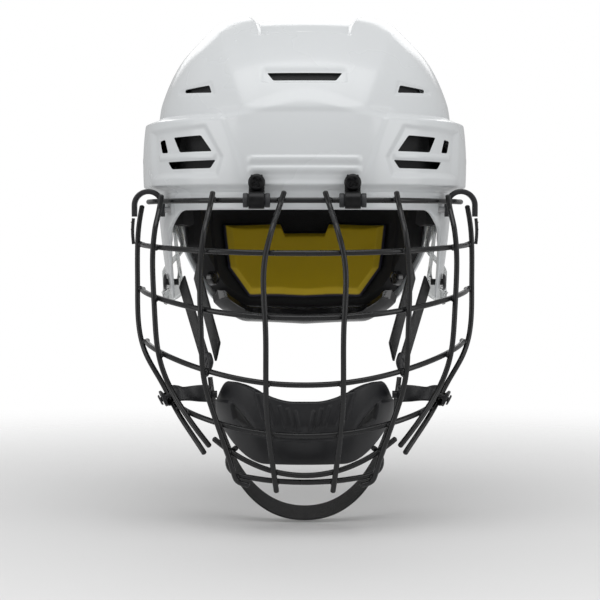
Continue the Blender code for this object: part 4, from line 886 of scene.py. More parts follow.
def build_liner():
    u = np.radians(np.linspace(-46, 46, 90))
    v = np.linspace(0, 1, 60)
    brow_notes = np.meshgrid(u, v)
    groove = 0.0022 * ease(np.abs(np.abs(np.degrees(brow_notes[0])) - 27), 1.1, 0.3)
    wall("front_foam", level_band(-0.1065, -0.010), u, v, LINER_FACE, LINER_FACE - LINER + groove,
         GREY_FOAM, "helmet",
         "liner_foam", ["front_liner"], rim=0.0022)
    face = LINER_FACE - LINER - SOFT_GAP
    u, v = np.radians(np.linspace(-40, 40, 96)), np.linspace(0, 1, 34)
    uu, vv = np.meshgrid(np.linspace(-1, 1, 96), np.linspace(-1, 1, 34))
    thick = cushioned(uu, vv, PAD) - 0.0012 * ease(np.abs(np.abs(uu) - 0.42), 0.016, 0.004)
    pad = wall("brow_comfort_pad", level_band(-0.1050, -0.072), u, v, face, face - thick, PAD_SKIN,
               "helmet",
               "pad_fabric", ["brow_pad"], rim=0.0028)
    for side, sign in SIDES:
        u, v = sign * np.radians(np.linspace(49, 106, 84)), np.linspace(0, 1, 60)
        uu, vv = np.meshgrid(np.abs(np.degrees(u)), v)
        groove = 0.0024 * ease(np.abs(uu - 66), 1.2, 0.3) + 0.0018 * ease(np.abs(vv - 0.42), 0.02, 0.006)
        wall(f"side_foam_{side}", side_foam, u, v, REAR_LINER_FACE, LINER_FACE - LINER + groove, FOAM,
             "helmet",
             "liner_foam", [f"side_liner_{side}"], rim=0.0022)
    rear_face = REAR_LINER_FACE - LINER
    u, v = np.radians(np.linspace(118, 242, 130)), np.linspace(0, 1, 80)
    uu, vv = np.meshgrid(np.degrees(u) - 180, v)
    groove = 0.0020 * ease(np.abs(np.abs(uu) - 50), 1.0, 0.3)
    wall("rear_foam", above_edge(REAR_FOAM_LOW, -0.020, REAR_FOAM_CLEAR), u, v, REAR_LINER_FACE,
         rear_face + groove,
         FOAM, "rear", "liner_foam", ["rear_liner"], rim=0.0022)
    build_rear_pad(rear_face)
    u, v = np.radians(np.linspace(134, 226, 110)), np.linspace(0, 1, 14)
    wall("nape_rim", nape_form, u, v, REAR_INNER - GAP * 2, rear_face - GAP, NAPE, "rear",
         "black_plastic", ["nape_trim"], rim=0.0024)
    build_crown()


def above_edge(low, high, clear):
    """Surface between a height that follows the shell's edge, no lower than low, and a level height."""
    def surface(angle, share):
        bottom = np.maximum(edge_height(angle) + clear, low)
        return plain_surface(angle, level_at(bottom + (high - bottom) * share))
    return surface


def nape_form(angle, share):
    """Trim that follows the rear shell's edge, NAPE_HEIGHT tall."""
    return plain_surface(angle, level_at(edge_height(angle) + NAPE_HEIGHT * (share - 1)))


def build_rear_pad(rear_face):
    """Yellow rear pad: straight sides, chamfered lower corners, a notch on top, a bevel and a dark edge."""
    def outline(turn, share):
        """turn -1..1 round the nape; share 0 at the lower edge with its chamfers, 1 at the notched top."""
        side = np.abs(turn)
        angle = pi + turn * radians(42.5) * (0.985 + 0.015 * share)
        bottom = np.maximum(edge_height(angle) + REAR_PAD_CLEAR, REAR_FOAM_LOW)
        tall = REAR_PAD_TOP - bottom
        bottom = bottom + tall * (0.32 * np.clip((side - 0.72) / 0.28, 0, 1) + 0.020 * (1 - side**2))
        top = REAR_PAD_TOP - tall * (0.125 * ease(side, 0.245, 0.195) + 0.03 * side)
        return plain_surface(angle, level_at(bottom + (top - bottom) * share))

    u, v = np.linspace(-1, 1, 170), np.linspace(0, 1, 70)
    uu, vv = np.meshgrid(u, v)
    edge = np.minimum((1 - np.abs(uu)) * 0.078, np.minimum(vv, 1 - vv) * 0.066)
    thick = PAD * (0.35 + 0.65 * ease(edge, 0.0002, 0.0060))
    face = rear_face - SOFT_GAP
    points, quads, uv = closed_wall(outline, u, v, face, face - thick, rim=0.0010)
    mesh = mesh_from("rear_comfort_pad", points, quads, None, uv)
    point_values(mesh, "edge_paint", np.tile(ease(edge, 0.0016, 0.0009).ravel(), 2))
    pad = piece("rear_comfort_pad", mesh, YELLOW, "rear", "rear_pad_yellow", ["rear_pad"])
    for side, sign in SIDES:
        centre = plain_surface(pi - sign * radians(51), level_at(-0.1560))
        inward = unit((np.array([0.0, MIDDLE_Y, centre[2]]) - centre))
        spot = centre + inward * (-rear_face + 0.0003)
        profile = [(0.00002, 0.0022), (0.0018, 0.0022), (0.0022, 0.0014), (0.0036, 0.0014),
                   (0.0042, 0.0024),
                   (0.0052, 0.0020), (0.0056, -0.0016), (0.00002, -0.0016)]
        piece(f"liner_snap_{side}", turned_mesh("snap", profile, spot, inward, 36), NAPE, "rear",
              "black_plastic")


def build_crown():
    """Crown pad and foam: slabs with superelliptic plan |x/a|^4 + |y/b|^4 = 1 and rounded edges."""
    crown_top = HELMET_STATIONS[-1][0] - CHANNEL_DEPTH + REAR_INNER - SOFT_GAP - 0.0012
    for name, low, high, half_x, half_y, finish_used, slot, node in (
            ("crown_comfort_pad", 0.0, PAD, 0.042, 0.055, PAD_SKIN, "pad_fabric", "crown_pad"),
            ("crown_foam", PAD + GAP, crown_top, 0.031, 0.044, FOAM, "liner_foam", "crown_liner")):
        turn = np.linspace(0, 2 * pi, 96, endpoint=False)
        reach = (np.abs(np.cos(turn) / half_x)**4 + np.abs(np.sin(turn) / half_y)**4)**-0.25
        around = np.linspace(-pi / 2, pi / 2, 15)
        rounding = min(0.0028, (high - low) / 2.2)
        shrink = np.concatenate([np.linspace(0.02, 0.94, 10),
                                 1 - (1 - np.cos(around)) * rounding / half_x,
                                 np.linspace(0.94, 0.02, 10)])
        edge_z = (low + high) / 2 + np.sin(around) * (high - low) / 2
        z = np.concatenate([np.full(10, low), edge_z, np.full(10, high)])
        x, y = shrink[:, None] * reach * np.cos(turn), shrink[:, None] * reach * np.sin(turn)
        if name == "crown_comfort_pad":
            channel = ease(np.abs(np.abs(x) - 0.016), 0.0022, 0.0006)
            z = z[:, None] + 0.0014 * channel * (z[:, None] < 0.001) * (np.abs(y) < 0.044)
        points = np.stack([x, y, np.broadcast_to(z if z.ndim == 2 else z[:, None], x.shape)],
                          -1).reshape(-1, 3)
        rows, count = len(shrink), len(turn)
        quads, cell = grid(rows, count, True)
        points = np.concatenate([points, [[0, 0, low], [0, 0, high]]])
        k, m = np.arange(count), (np.arange(count) + 1) % count
        caps = np.concatenate([np.stack([m, k, np.full(count, rows * count)], 1),
                               np.stack([(rows - 1) * count + k, (rows - 1) * count + m,
                                         np.full(count, rows * count + 1)], 1)])
        pad = piece(name, mesh_from(name, points, quads, caps, cell * 0.001), finish_used, "helmet",
                    slot, [node])


def build_ear_guards():
    """Clear loops round the ears: a flat ring between two ovals, its edges rounded, flared outwards below."""
    centre_y, centre_z = 0.014, -0.1380
    for side, sign in SIDES:
        def loop(turn, share, sign=sign):
            y = centre_y + (0.0255 + 0.0095 * share) * np.cos(turn)
            z = centre_z + (0.0265 + 0.0095 * share) * np.sin(turn)
            flare = 0.016 * ease(z, -0.130, -0.152) * ease(y, -0.012, 0.008)
            return np.stack([sign * side_reach(y, z, REAR_INNER - 0.0022 + flare), y, z], axis=-1)
        u, v = np.linspace(0, 2 * pi, 121)[:-1], np.linspace(0, 1, 12)
        ridge = 0.0008 + 0.0005 * ease(np.minimum(v, 1 - v), 0.22, 0.08)[:, None]
        wall(f"ear_guard_loop_{side}", loop, u, v, ridge, -ridge, CLEAR, "helmet", "clear_guard",
             [f"ear_guard_{side}"], wrap=True, rim=0.0008)


# ---------------------------------------------------------------- cage fittings
def cross_screw(name, centre, axis, head, height, shank, length, turn=0.4, columns=72):
    """Pan-head screw: head height h(r) with a cross recess cut in, then a shank closed at its tip."""
    r = np.concatenate([np.linspace(0.00002, head * 0.80, 30),
                        head * (0.80 + 0.20 * np.sin(np.linspace(0.1, pi / 2, 7)))])
    top = -height * np.sqrt(np.clip(1 - (r / head)**5 * 0.80, 0, 1))
    rows = np.column_stack([r, top])
    rows = np.concatenate([rows, [(head, -0.0002), (head - 0.0002, 0.0), (shank * 1.05, 0.0),
                                  (shank, 0.0002),
                                  (shank, length - 0.0004), (shank * 0.6, length), (0.00002, length)]])
    angle = np.linspace(0, 2 * pi, columns, endpoint=False)
    u = rows[:, :1] * np.cos(angle - turn)
    v = rows[:, :1] * np.sin(angle - turn)
    arm = head * 0.15
    cross = np.maximum(ease(np.abs(u), arm * 1.25, arm * 0.8)
                       * ease(np.abs(v), head * 0.64, head * 0.52),
                       ease(np.abs(v), arm * 1.25, arm * 0.8)
                       * ease(np.abs(u), head * 0.64, head * 0.52))
    depth = np.zeros_like(u)
    depth[:len(r)] = height * 0.62 * cross[:len(r)]
    axis = unit(np.array(axis, float))
    helper = np.array([0, 0, 1.0])
    across = unit(np.cross(axis, helper))
    over = np.cross(axis, across)
    points = (np.array(centre, float) + (rows[:, 1:2] + depth)[..., None] * axis
              + (rows[:, :1] * np.cos(angle))[..., None] * across
              + (rows[:, :1] * np.sin(angle))[..., None] * over)
    count, total = columns, len(rows)
    quads, cell = grid(total, count, True)
    points = np.concatenate([points.reshape(-1, 3), [points[0].mean(0), points[-1].mean(0)]])
    k, m = np.arange(count), (np.arange(count) + 1) % count
    caps = np.concatenate([np.stack([m, k, np.full(count, total * count)], 1),
                           np.stack([(total - 1) * count + k, (total - 1) * count + m,
                                     np.full(count, total * count + 1)], 1)])
    return mesh_from(name, points, quads, caps, cell * 0.001)


def build_fittings():
    radius = SLEEVE_RADIUS + GAP + CLIP_STRIP / 2
    rear_leg = front_reach(CLIP_X, CLIP_SCREW_Z, BAND_FRONT + GAP + 0.0012 + CLIP_STRIP / 2)
    front_leg = rear_leg - CLIP_STRIP - GAP
    turns = np.linspace(radians(188), radians(450), 44)
    arc = np.stack([HINGE_Y - radius * np.cos(turns), HINGE_Z + radius * np.sin(turns)], 1)
    down = np.array([(rear_leg, CLIP_TAB_TOP), (rear_leg, CLIP_SCREW_Z), (rear_leg, HINGE_Z + 0.0030)])
    bend = HINGE_Z + radius
    back = np.array([(front_leg - 0.0006, bend + 0.0002), (front_leg, bend + 0.0012),
                     (front_leg, CLIP_SCREW_Z),
                     (front_leg, CLIP_TAB_TOP)])
    path = np.concatenate([down, arc, back])
    width = CLIP_WIDTH * (1 - 0.28 * ease(path[:, 1], CLIP_SCREW_Z + 0.0015, CLIP_TAB_TOP))
    for side, sign in SIDES:
        x = sign * CLIP_X
        spots = np.column_stack([np.full(len(path), x), path])
        piece(f"cage_clip_{side}", strip_mesh("clip", spots, (1, 0, 0), width, CLIP_STRIP, 5.0, 24),
              BLACKED,
              "helmet", "black_steel", [f"clip_{side}"])
        bore, half, neck = WIRE / 2 + 0.00015, SLEEVE_LENGTH / 2, CLIP_WIDTH / 2 + GAP
        r = 0.0004
        one = [(bore, half), (SLEEVE_FLANGE - r, half), (SLEEVE_FLANGE, half - r),
               (SLEEVE_FLANGE, neck + r),
               (SLEEVE_FLANGE - r, neck), (SLEEVE_RADIUS, neck - 0.0001), (SLEEVE_RADIUS, neck * 0.35)]
        profile = one + [(a, -b) for a, b in one[::-1]]
        piece(f"wire_sleeve_{side}", turned_mesh("sleeve", profile, (x, HINGE_Y, HINGE_Z), (1, 0, 0),
                                                 40), RUBBER,
              "helmet", "grey_rubber", [f"clip_sleeve_{side}"], sharp=50)
        face = front_leg - CLIP_STRIP / 2 - GAP
        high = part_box(f"clip_screw_{side}")[1]
        piece(f"cage_screw_{side}", cross_screw("screw", (x, face, CLIP_SCREW_Z), (0, 1, 0),
                                                SCREW_HEAD_RADIUS,
                                                SCREW_HEAD_HEIGHT, SCREW_RADIUS, high[1] - face,
                                                0.55 * sign), BLACKED,
              "helmet", "black_steel", [f"clip_screw_{side}"], sharp=50)
        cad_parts[f"clip_nut_{side}"].material_slots[0].material = PLATED


def build_hooks():
    middle, radius = (HOOK_INNER_X + HOOK_OUTER_X) / 2, (HOOK_OUTER_X - HOOK_INNER_X) / 2
    turn = np.linspace(0, pi, 30)
    arch = np.stack([middle - radius * np.cos(turn), HOOK_ARCH_Z - radius + radius * np.sin(turn)], 1)
    tall = np.linspace(HOOK_END_Z + 0.0008, HOOK_ARCH_Z - radius, 8)[:-1]
    path = np.concatenate([np.stack([np.full(7, HOOK_INNER_X), tall], 1), arch,
                           np.stack([np.full(7, HOOK_OUTER_X), tall[::-1]], 1)])
    ends = ease(path[:, 1], HOOK_END_Z + 0.0002, HOOK_END_Z + 0.0040)
    for side, sign in SIDES:
        spots = np.stack([sign * path[:, 0], np.full(len(path), HOOK_Y), path[:, 1]], 1)
        body = strip_mesh("hook", spots, (0, 1, 0), HOOK_DEPTH * (0.72 + 0.28 * ends), HOOK_STRIP, 4.0,
                          28)
        piece(f"corner_hook_{side}", body, PLASTIC, "helmet", "black_plastic", [f"side_hook_{side}"])
        tab_x = HOOK_OUTER_X + 0.0007
        tab = np.stack([np.full(14, sign * tab_x), np.full(14, HOOK_Y),
                        np.linspace(HOOK_END_Z - GAP, HOOK_STRAP_END, 14)], 1)
        tab[:, 0] += sign * 0.0006 * np.sin(np.linspace(0, pi, 14))
        piece(f"hook_tab_{side}", strip_mesh("tab", tab, (0, 1, 0), HOOK_DEPTH - 0.002, 0.0018, 6.0, 24),
              WEB,
              "helmet", "webbing", [f"hook_strap_{side}"])
        bars = []
        for z in (-0.1140, -0.1190):
            line = [(sign * (tab_x + 0.0014), HOOK_Y + y, z) for y in np.linspace(-0.0030, 0.0030, 7)]
            bars.append(tube_mesh("stitch", line, 0.00035, (0, 0, 1), 8))
        piece(f"hook_stitches_{side}", joined("stitches", bars), THREAD, "helmet", "webbing")
        low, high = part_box(f"hook_screw_{side}")
        face = HOOK_INNER_X + HOOK_STRIP / 2 + GAP
        reach = face - (low[0] if sign > 0 else -high[0])
        piece(f"corner_screw_{side}", cross_screw("screw", (sign * face, HOOK_Y, HOOK_SCREW_Z),
                                                  (-sign, 0, 0), 0.0032,
                                                  0.0012, SCREW_RADIUS, reach), PLATED, "helmet",
              "plain_steel",
              [f"hook_screw_{side}"], sharp=50)
        low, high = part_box(f"size_screw_{side}")
        head_x = (high[0] if sign > 0 else -low[0]) - 0.0016
        reach = head_x - (low[0] if sign > 0 else -high[0])
        screw = cross_screw("screw", (sign * head_x, SIZE_SCREW_Y, SIZE_SCREW_Z), (-sign, 0, 0),
                            SIZE_HEAD_RADIUS,
                            0.0017, SCREW_RADIUS, reach)
        nut_r = SCREW_RADIUS * 1.9
        nut = turned_mesh("nut", [(SCREW_RADIUS * 0.9, reach - 0.0016), (nut_r, reach - 0.0016),
                                  (nut_r, reach),
                                  (SCREW_RADIUS * 0.9, reach)],
                          (sign * head_x, SIZE_SCREW_Y, SIZE_SCREW_Z), (-sign, 0, 0), 6)
        piece(f"size_lock_screw_{side}", joined("size screw", [screw, nut]), BLACKED, "helmet",
              "black_steel",
              [f"size_screw_{side}"], sharp=50)


# ---------------------------------------------------------------- cage
def cage_surface(share, height):
    """Half ellipse at each height: x = a sin t, y = side - (side - front) cos t, squarer near the top."""
    half, side_y, front_y = [spline(CAGE_STATIONS, height)[..., i] for i in range(3)]
    angle = share * pi / 2
    square = 1 + CAGE_SQUARE * ease(height, -0.152, -0.104) * (np.sin(angle) * np.cos(angle))**2
    ahead = (side_y - front_y) * np.cos(angle) * square
    return np.stack([half * np.sin(angle), side_y - ahead, height], axis=-1)


def cage_point(height, share, layer=0.0):
    """Points on the cage form, moved outwards by layer."""
    share, height = np.broadcast_arrays(np.asarray(share, float), np.asarray(height, float))
    layer = np.asarray(layer, float)[..., None]
    return cage_surface(share, height) + layer * normals_of(cage_surface, share, height)


def cage_slope(height, share):
    """Unit vector up the cage form at constant share."""
    return unit(cage_point(height + 0.001, share) - cage_point(height - 0.001, share))


def top_wire_path(count=60):
    """Straight through the clips, then back along the temples to the corners."""
    corner_x, corner_y = CAGE_CORNER
    half = [(TOP_STRAIGHT, HINGE_Y), (0.062, HINGE_Y + 0.0065), (0.080, -0.1150), (0.0960, -0.0920),
            (corner_x, corner_y)]
    bend = smooth_path([(TOP_STRAIGHT - 0.008, HINGE_Y, HINGE_Z)] + [(x, y, HINGE_Z) for x, y in half],
                       count)[1:]
    straight = np.linspace(-1, 1, 12)[1:-1,
                                      None] * np.array([bend[0, 0], 0, 0]) + np.array([0, HINGE_Y,
                                                                                       HINGE_Z])
    return np.concatenate([bend[::-1] * np.array([-1, 1, 1]), straight, bend])


def upright_path(rows, sign, count=90):
    """Upright wire through (height, x) rows on the outer layer, its top laid over the top wire."""
    heights = np.linspace(rows[0][0], rows[-1][0], count)
    across = spline(rows, heights)[..., 0]
    half = spline(CAGE_STATIONS, heights)[..., 0]
    path = cage_point(heights, sign * np.arcsin(np.clip(across / half, -1, 1)) * 2 / pi, LAYER)
    top = top_wire_path()
    run = np.gradient(top, axis=0)
    out = np.column_stack([run[:, 1], -run[:, 0]]) / np.linalg.norm(run[:, :2], axis=1)[:, None]
    over = top[:, :2] + (LAYER - 0.0002) * out
    top_y = np.interp(sign * across, over[:, 0], over[:, 1])
    near_top = ease(heights, HINGE_Z - 0.020, HINGE_Z - 0.002)
    path[:, 1] = path[:, 1] * (1 - near_top) + top_y * near_top
    return path


def form_line(rows, count):
    """Smooth wire through (x, height, layer) rows on the cage form."""
    x, height, layer = np.array(rows, float).T
    half = spline(CAGE_STATIONS, height)[..., 0]
    return smooth_path(cage_point(height, np.arcsin(np.clip(x / half, -1, 1)) * 2 / pi, layer), count)


def both_sides(rows):
    """Rows given from one end to the middle, carried on mirrored to the other end."""
    return [*rows, *[(-x, height, layer) for x, height, layer in rows[-2::-1]]]


def wire_piece(name, path, stands_for, reference):
    return piece(name, tube_mesh(name, path, WIRE / 2, reference, 16, cap=0.7), CAGE_COAT, "cage",
                 "cage_wire", stands_for)


def weld_beads(pairs):
    """One flattened bead at the nearest points of every pair of crossing wires."""
    turn, rise = np.meshgrid(np.linspace(0, 2 * pi, 10, endpoint=False),
                             np.linspace(-pi / 2 + 0.3, pi / 2 - 0.3, 5))
    ball = np.stack([np.cos(rise) * np.cos(turn), np.cos(rise) * np.sin(turn), np.sin(rise)],
                    -1).reshape(-1, 3)
    ball = np.concatenate([ball, [(0, 0, -1), (0, 0, 1)]])
    quads, _ = grid(5, 10, True)
    k, m = np.arange(10), (np.arange(10) + 1) % 10
    caps = np.concatenate([np.stack([m, k, np.full(10, 50)], 1),
                           np.stack([40 + k, 40 + m, np.full(10, 51)], 1)])
    points, fours, threes = [], [], []
    for first, second in pairs:
        gap = np.linalg.norm(first[:, None] - second[None], axis=-1)
        i, j = np.unravel_index(gap.argmin(), gap.shape)
        if gap[i, j] > 0.0052:
            continue
        start = 52 * len(points)
        between = unit(second[j] - first[i])
        along = unit(first[min(i + 1, len(first) - 1)] - first[max(i - 1, 0)])
        side = np.cross(between, along)
        turned = ball @ np.stack([along * 0.0023, side * 0.0023, between * 0.0021])
        points.append((first[i] + second[j]) / 2 + turned)
        fours.append(quads + start)
        threes.append(caps + start)
    return mesh_from("weld beads", np.concatenate(points), np.concatenate(fours), np.concatenate(threes))


def build_cage():
    top = top_wire_path()
    wire_piece("top_frame_wire", top, ["top_wire"], (0, 0, 1))
    across_wires, uprights = [top], []
    for number, (side_z, middle_z) in enumerate(CROSS_WIRES, 1):
        share = np.linspace(-1, 1, 150)
        height = middle_z + (side_z - middle_z) * np.abs(np.sin(share * pi / 2))**2.2
        path = cage_point(height, share)
        wire_piece(f"face_wire_{number}", path, [f"cross_wire_{number}"], (0, 0, 1))
        across_wires.append(path)
    side_z, middle_z, half = CHIN_BEND
    x = np.linspace(-half, half, 21)
    upper = form_line([(a, middle_z + (side_z - middle_z) * (a / half)**2, 0.0) for a in x], 130)
    wire_piece("chin_bend_wire", upper, ["chin_wire_1"], (0, 0, 1))
    loop = both_sides([(-0.0462, -0.2625, -0.0034), (-0.0492, -0.2650, -0.0030),
                       (-0.0508, -0.2698, -0.0014),
                       (-0.0490, -0.2752, 0.0), (-0.0440, -0.2790, 0.0), (-0.0360, -0.2808, 0.0),
                       (-0.0240, -0.2824, 0.0), (-0.0120, -0.2833, 0.0), (0.0, -0.2836, 0.0)])
    lower = form_line(loop, 170)
    wire_piece("throat_wire", lower, ["chin_wire_2"], (0, 0.2, 1))
    across_wires += [upper, lower]
    for side, sign in SIDES:
        for name, rows in (("inner_upright", INNER_UPRIGHT), ("outer_upright", OUTER_UPRIGHT),
                           ("side_upright", SIDE_UPRIGHT)):
            path = upright_path(rows, sign)
            if name == "outer_upright":
                tail = form_line([(sign * 0.0446, -0.2782, LAYER), (sign * 0.0432, -0.2822, 0.0030),
                                  (sign * 0.0398, -0.2842, 0.0026), (sign * 0.0350, -0.2848, 0.0032)],
                                 24)
                path = smooth_path(np.concatenate([path[:-1:6], tail[::4]]), 110)
            wire_piece(f"{name}_wire_{side}", path, [f"{name}_{side}"], (1, 0.2, 0))
            uprights.append(path)
        heights = np.linspace(-0.1042, EDGE_WIRE_END, 110)
        edge = cage_point(heights, np.full(110, float(sign)), LAYER)
        wire_piece(f"edge_rail_{side}", edge, [f"edge_wire_{side}"], (1, 0.2, 0))
        uprights.append(edge)
    beads = weld_beads([(a, b) for a in across_wires for b in uprights])
    piece("wire_welds", beads, CAGE_COAT, "cage", "cage_wire")


# ---------------------------------------------------------------- chin cup
CUP_TURN = radians(82)
CUP_RIBS = (((0.0318, -0.2262), (0.0266, -0.2424)), ((0.0235, -0.2330), (0.0194, -0.2462)),
            ((0.0160, -0.2345), (0.0124, -0.2478)), ((0.0106, -0.2360), (0.0078, -0.2488)),
            ((0.0058, -0.2375), (0.0036, -0.2496)))
CUP_SLOT = ((0.0490, -0.2350), (0.0470, -0.2446), (0.0332, -0.2538), (0.0398, -0.2442))
PAD_LINE = ((0.0500, -0.2335), (0.0398, -0.2442), (0.0332, -0.2530), (0.0200, -0.2560), (0.0, -0.2570))


def cup_surface(across, up):
    """Round the chin x = a sin t and y back with 1 - cos t; up runs from the lower to the upper edge."""
    turn = across * CUP_TURN
    x = CUP_HALF_WIDTH * np.sin(turn) / sin(CUP_TURN)
    y = CUP_FRONT + (CUP_BACK - CUP_FRONT) * (1 - np.cos(turn)) / (1 - cos(CUP_TURN))
    top = -0.2310 + 0.0115 * ease(np.abs(across), 0.08, 0.62) - 0.012 * ease(np.abs(across), 0.72, 1.0)
    bottom = -0.2745 + 0.030 * ease(np.abs(across), 0.30, 1.05)
    return np.stack([x, y + 0.012 * (1 - up)**2, bottom + (top - bottom) * up], axis=-1)


def cup_relief(point):
    """Raised ribs and a crowned pad above the pad line, a groove on it, and deep slots beside it; the slot
    mask it also returns paints shade into the slots.
    """
    x, z = np.abs(point[..., 0]), point[..., 2]
    line = np.array(sorted(PAD_LINE))
    line_z = np.interp(x, line[:, 0], line[:, 1])
    above = ease(z - line_z, -0.0006, 0.0010)
    out = -0.0010 * above + 0.0014 * above * ease(z - line_z, 0.0, 0.010) * ease(x, 0.055, 0.030)
    out = out - 0.0009 * ease(line_distance(x, z, PAD_LINE), 0.0012, 0.0003)
    for rib in CUP_RIBS:
        out = out + 0.0010 * ease(line_distance(x, z, rib), 0.0016, 0.0006)
    # slot marks the slots' outline: it sinks them here and, stored as a point attribute, paints shade into
    # them
    slot = inside(x, z, CUP_SLOT, 0.0012)
    return out - 0.0024 * slot, slot


def build_chin():
    across, up = np.linspace(-1, 1, 300), np.linspace(0, 1, 100)
    aa, uu = np.meshgrid(across, up)
    relief, slot = cup_relief(cup_surface(aa, uu))
    points, quads, uv = closed_wall(cup_surface, across, up, relief, -CUP_WALL, rim=0.0020)
    mesh = mesh_from("cup", points, quads, None, uv)
    # The slot mask is stored so that the finish can paint shade into the slots.
    point_values(mesh, "slot", np.concatenate([slot.ravel(), np.zeros(slot.size)]))
    face_out(mesh)
    pins = []
    for side, sign in SIDES:
        profile = [(0.00002, -0.0045), (PIN_RADIUS - 0.0004, -0.0045), (PIN_RADIUS, -0.0041),
                   (PIN_RADIUS, 0.0020),
                   (0.00002, 0.0020)]
        pin = turned_mesh("pin", profile, (sign * CUP_HALF_WIDTH, PIN_Y, PIN_Z), (-sign, 0, 0), 24)
        face_out(pin)
        pins.append(pin)
    # Painted shade: the slots are mixed to near-black over the cup's own black plastic, standing in for the
    # shade deep inside them.
    cup_finish = darken_by(CUP_PLASTIC.copy(), "slot", (0.002, 0.002, 0.002))
    cup_finish.name = "chin cup with painted slot shade"
    piece("chin_cup_shell", joined("cup", [mesh, *pins]), cup_finish, "chin", "black_plastic",
          ["chin_cup"], out=False)
    u, v = np.linspace(-0.93, 0.93, 160), np.linspace(0, 1, 56)
    uu, vv = np.meshgrid(u, v)

    def pad_form(a, b):
        return cup_surface(a, 0.08 + 0.89 * b)
    form = pad_form(uu, vv)
    thick = cushioned(uu / 0.93, vv * 2 - 1, CUP_PAD, 0.35)
    for rib in CUP_RIBS:
        thick = thick - 0.0014 * ease(line_distance(np.abs(form[..., 0]), form[..., 2], rib), 0.0022,
                                      0.0008)
    face = -CUP_WALL - GAP
    pad = wall("chin_comfort_pad", pad_form, u, v, face, face - thick, PAD_SKIN, "chin", "pad_fabric",
               ["chin_pad"],
               rim=0.0032)
    for side, sign in SIDES:
        build_arm(side, sign)


def build_arm(side, sign):
    """Arm: an S-shaped strip from the cup's pin that wraps the edge rail and comes forward again."""
    clear = WIRE / 2 + 0.0008 + ARM_STRIP / 2
    side_x = CUP_HALF_WIDTH + 0.0006 + ARM_STRIP / 2 + 0.0012
    plan = [(0.0, -0.0080), (0.0, 0.0025), (0.0022, 0.0065), (0.0075, 0.0078), (0.0145, 0.0058),
            (0.0200, 0.0048)]
    start = [(sign * (side_x + x), PIN_Y + y, PIN_Z) for x, y in plan]
    inner = cage_point(PIN_Z, sign * np.linspace(ARM_BUTTON_SHARE, 1.0, 3), LAYER - clear)
    approach = smooth_path(start + inner.tolist(), 60)
    centre = cage_point(PIN_Z, float(sign), LAYER)
    slope = cage_slope(PIN_Z, float(sign))
    out = (centre - cage_point(PIN_Z, float(sign))) / LAYER
    back = np.cross(slope, out) * sign
    turns = np.linspace(0, pi, 22)[1:-1, None]
    bend = centre + clear * (np.sin(turns) * back - np.cos(turns) * out)
    outer = cage_point(PIN_Z, sign * np.linspace(1.0, ARM_BUTTON_SHARE - 0.07, 16), LAYER + clear)
    path = np.concatenate([approach, bend, outer])
    turn = ease(np.arange(len(path)), 11, 43)[:, None]
    up = (1 - turn) * np.array([0, 0, 1]) + turn * slope
    ends = np.minimum(ease(np.arange(len(path)), -4, 6),
                      ease(np.arange(len(path)), len(path) + 3, len(path) - 8))
    piece(f"cup_arm_{side}", strip_mesh("arm", path, up, ARM_HEIGHT * (0.6 + 0.4 * ends), ARM_STRIP, 4.5,
                                        28),
          CUP_PLASTIC, "cage", "black_plastic", [f"chin_arm_{side}"])
    middle = cage_point(PIN_Z, sign * ARM_BUTTON_SHARE, LAYER)
    out = unit(cage_point(PIN_Z, sign * ARM_BUTTON_SHARE, LAYER + 0.001) - middle)
    face = clear + ARM_STRIP / 2 + GAP + 0.0002
    profile = [(0.00002, -face), (BUTTON_SHANK, -face), (BUTTON_SHANK, face), (BUTTON_RADIUS, face),
               (BUTTON_RADIUS, face + 0.0006), (BUTTON_RADIUS * 0.93, face + 0.0011),
               (BUTTON_RADIUS * 0.75, face + 0.0014), (BUTTON_RADIUS * 0.66, face + 0.0011),
               (BUTTON_RADIUS * 0.45, face + 0.0010), (0.00002, face + 0.0012)]
    piece(f"arm_stud_{side}", turned_mesh("stud", profile, middle, out, 40), PLASTIC, "cage",
          "black_plastic",
          [f"arm_button_{side}"])


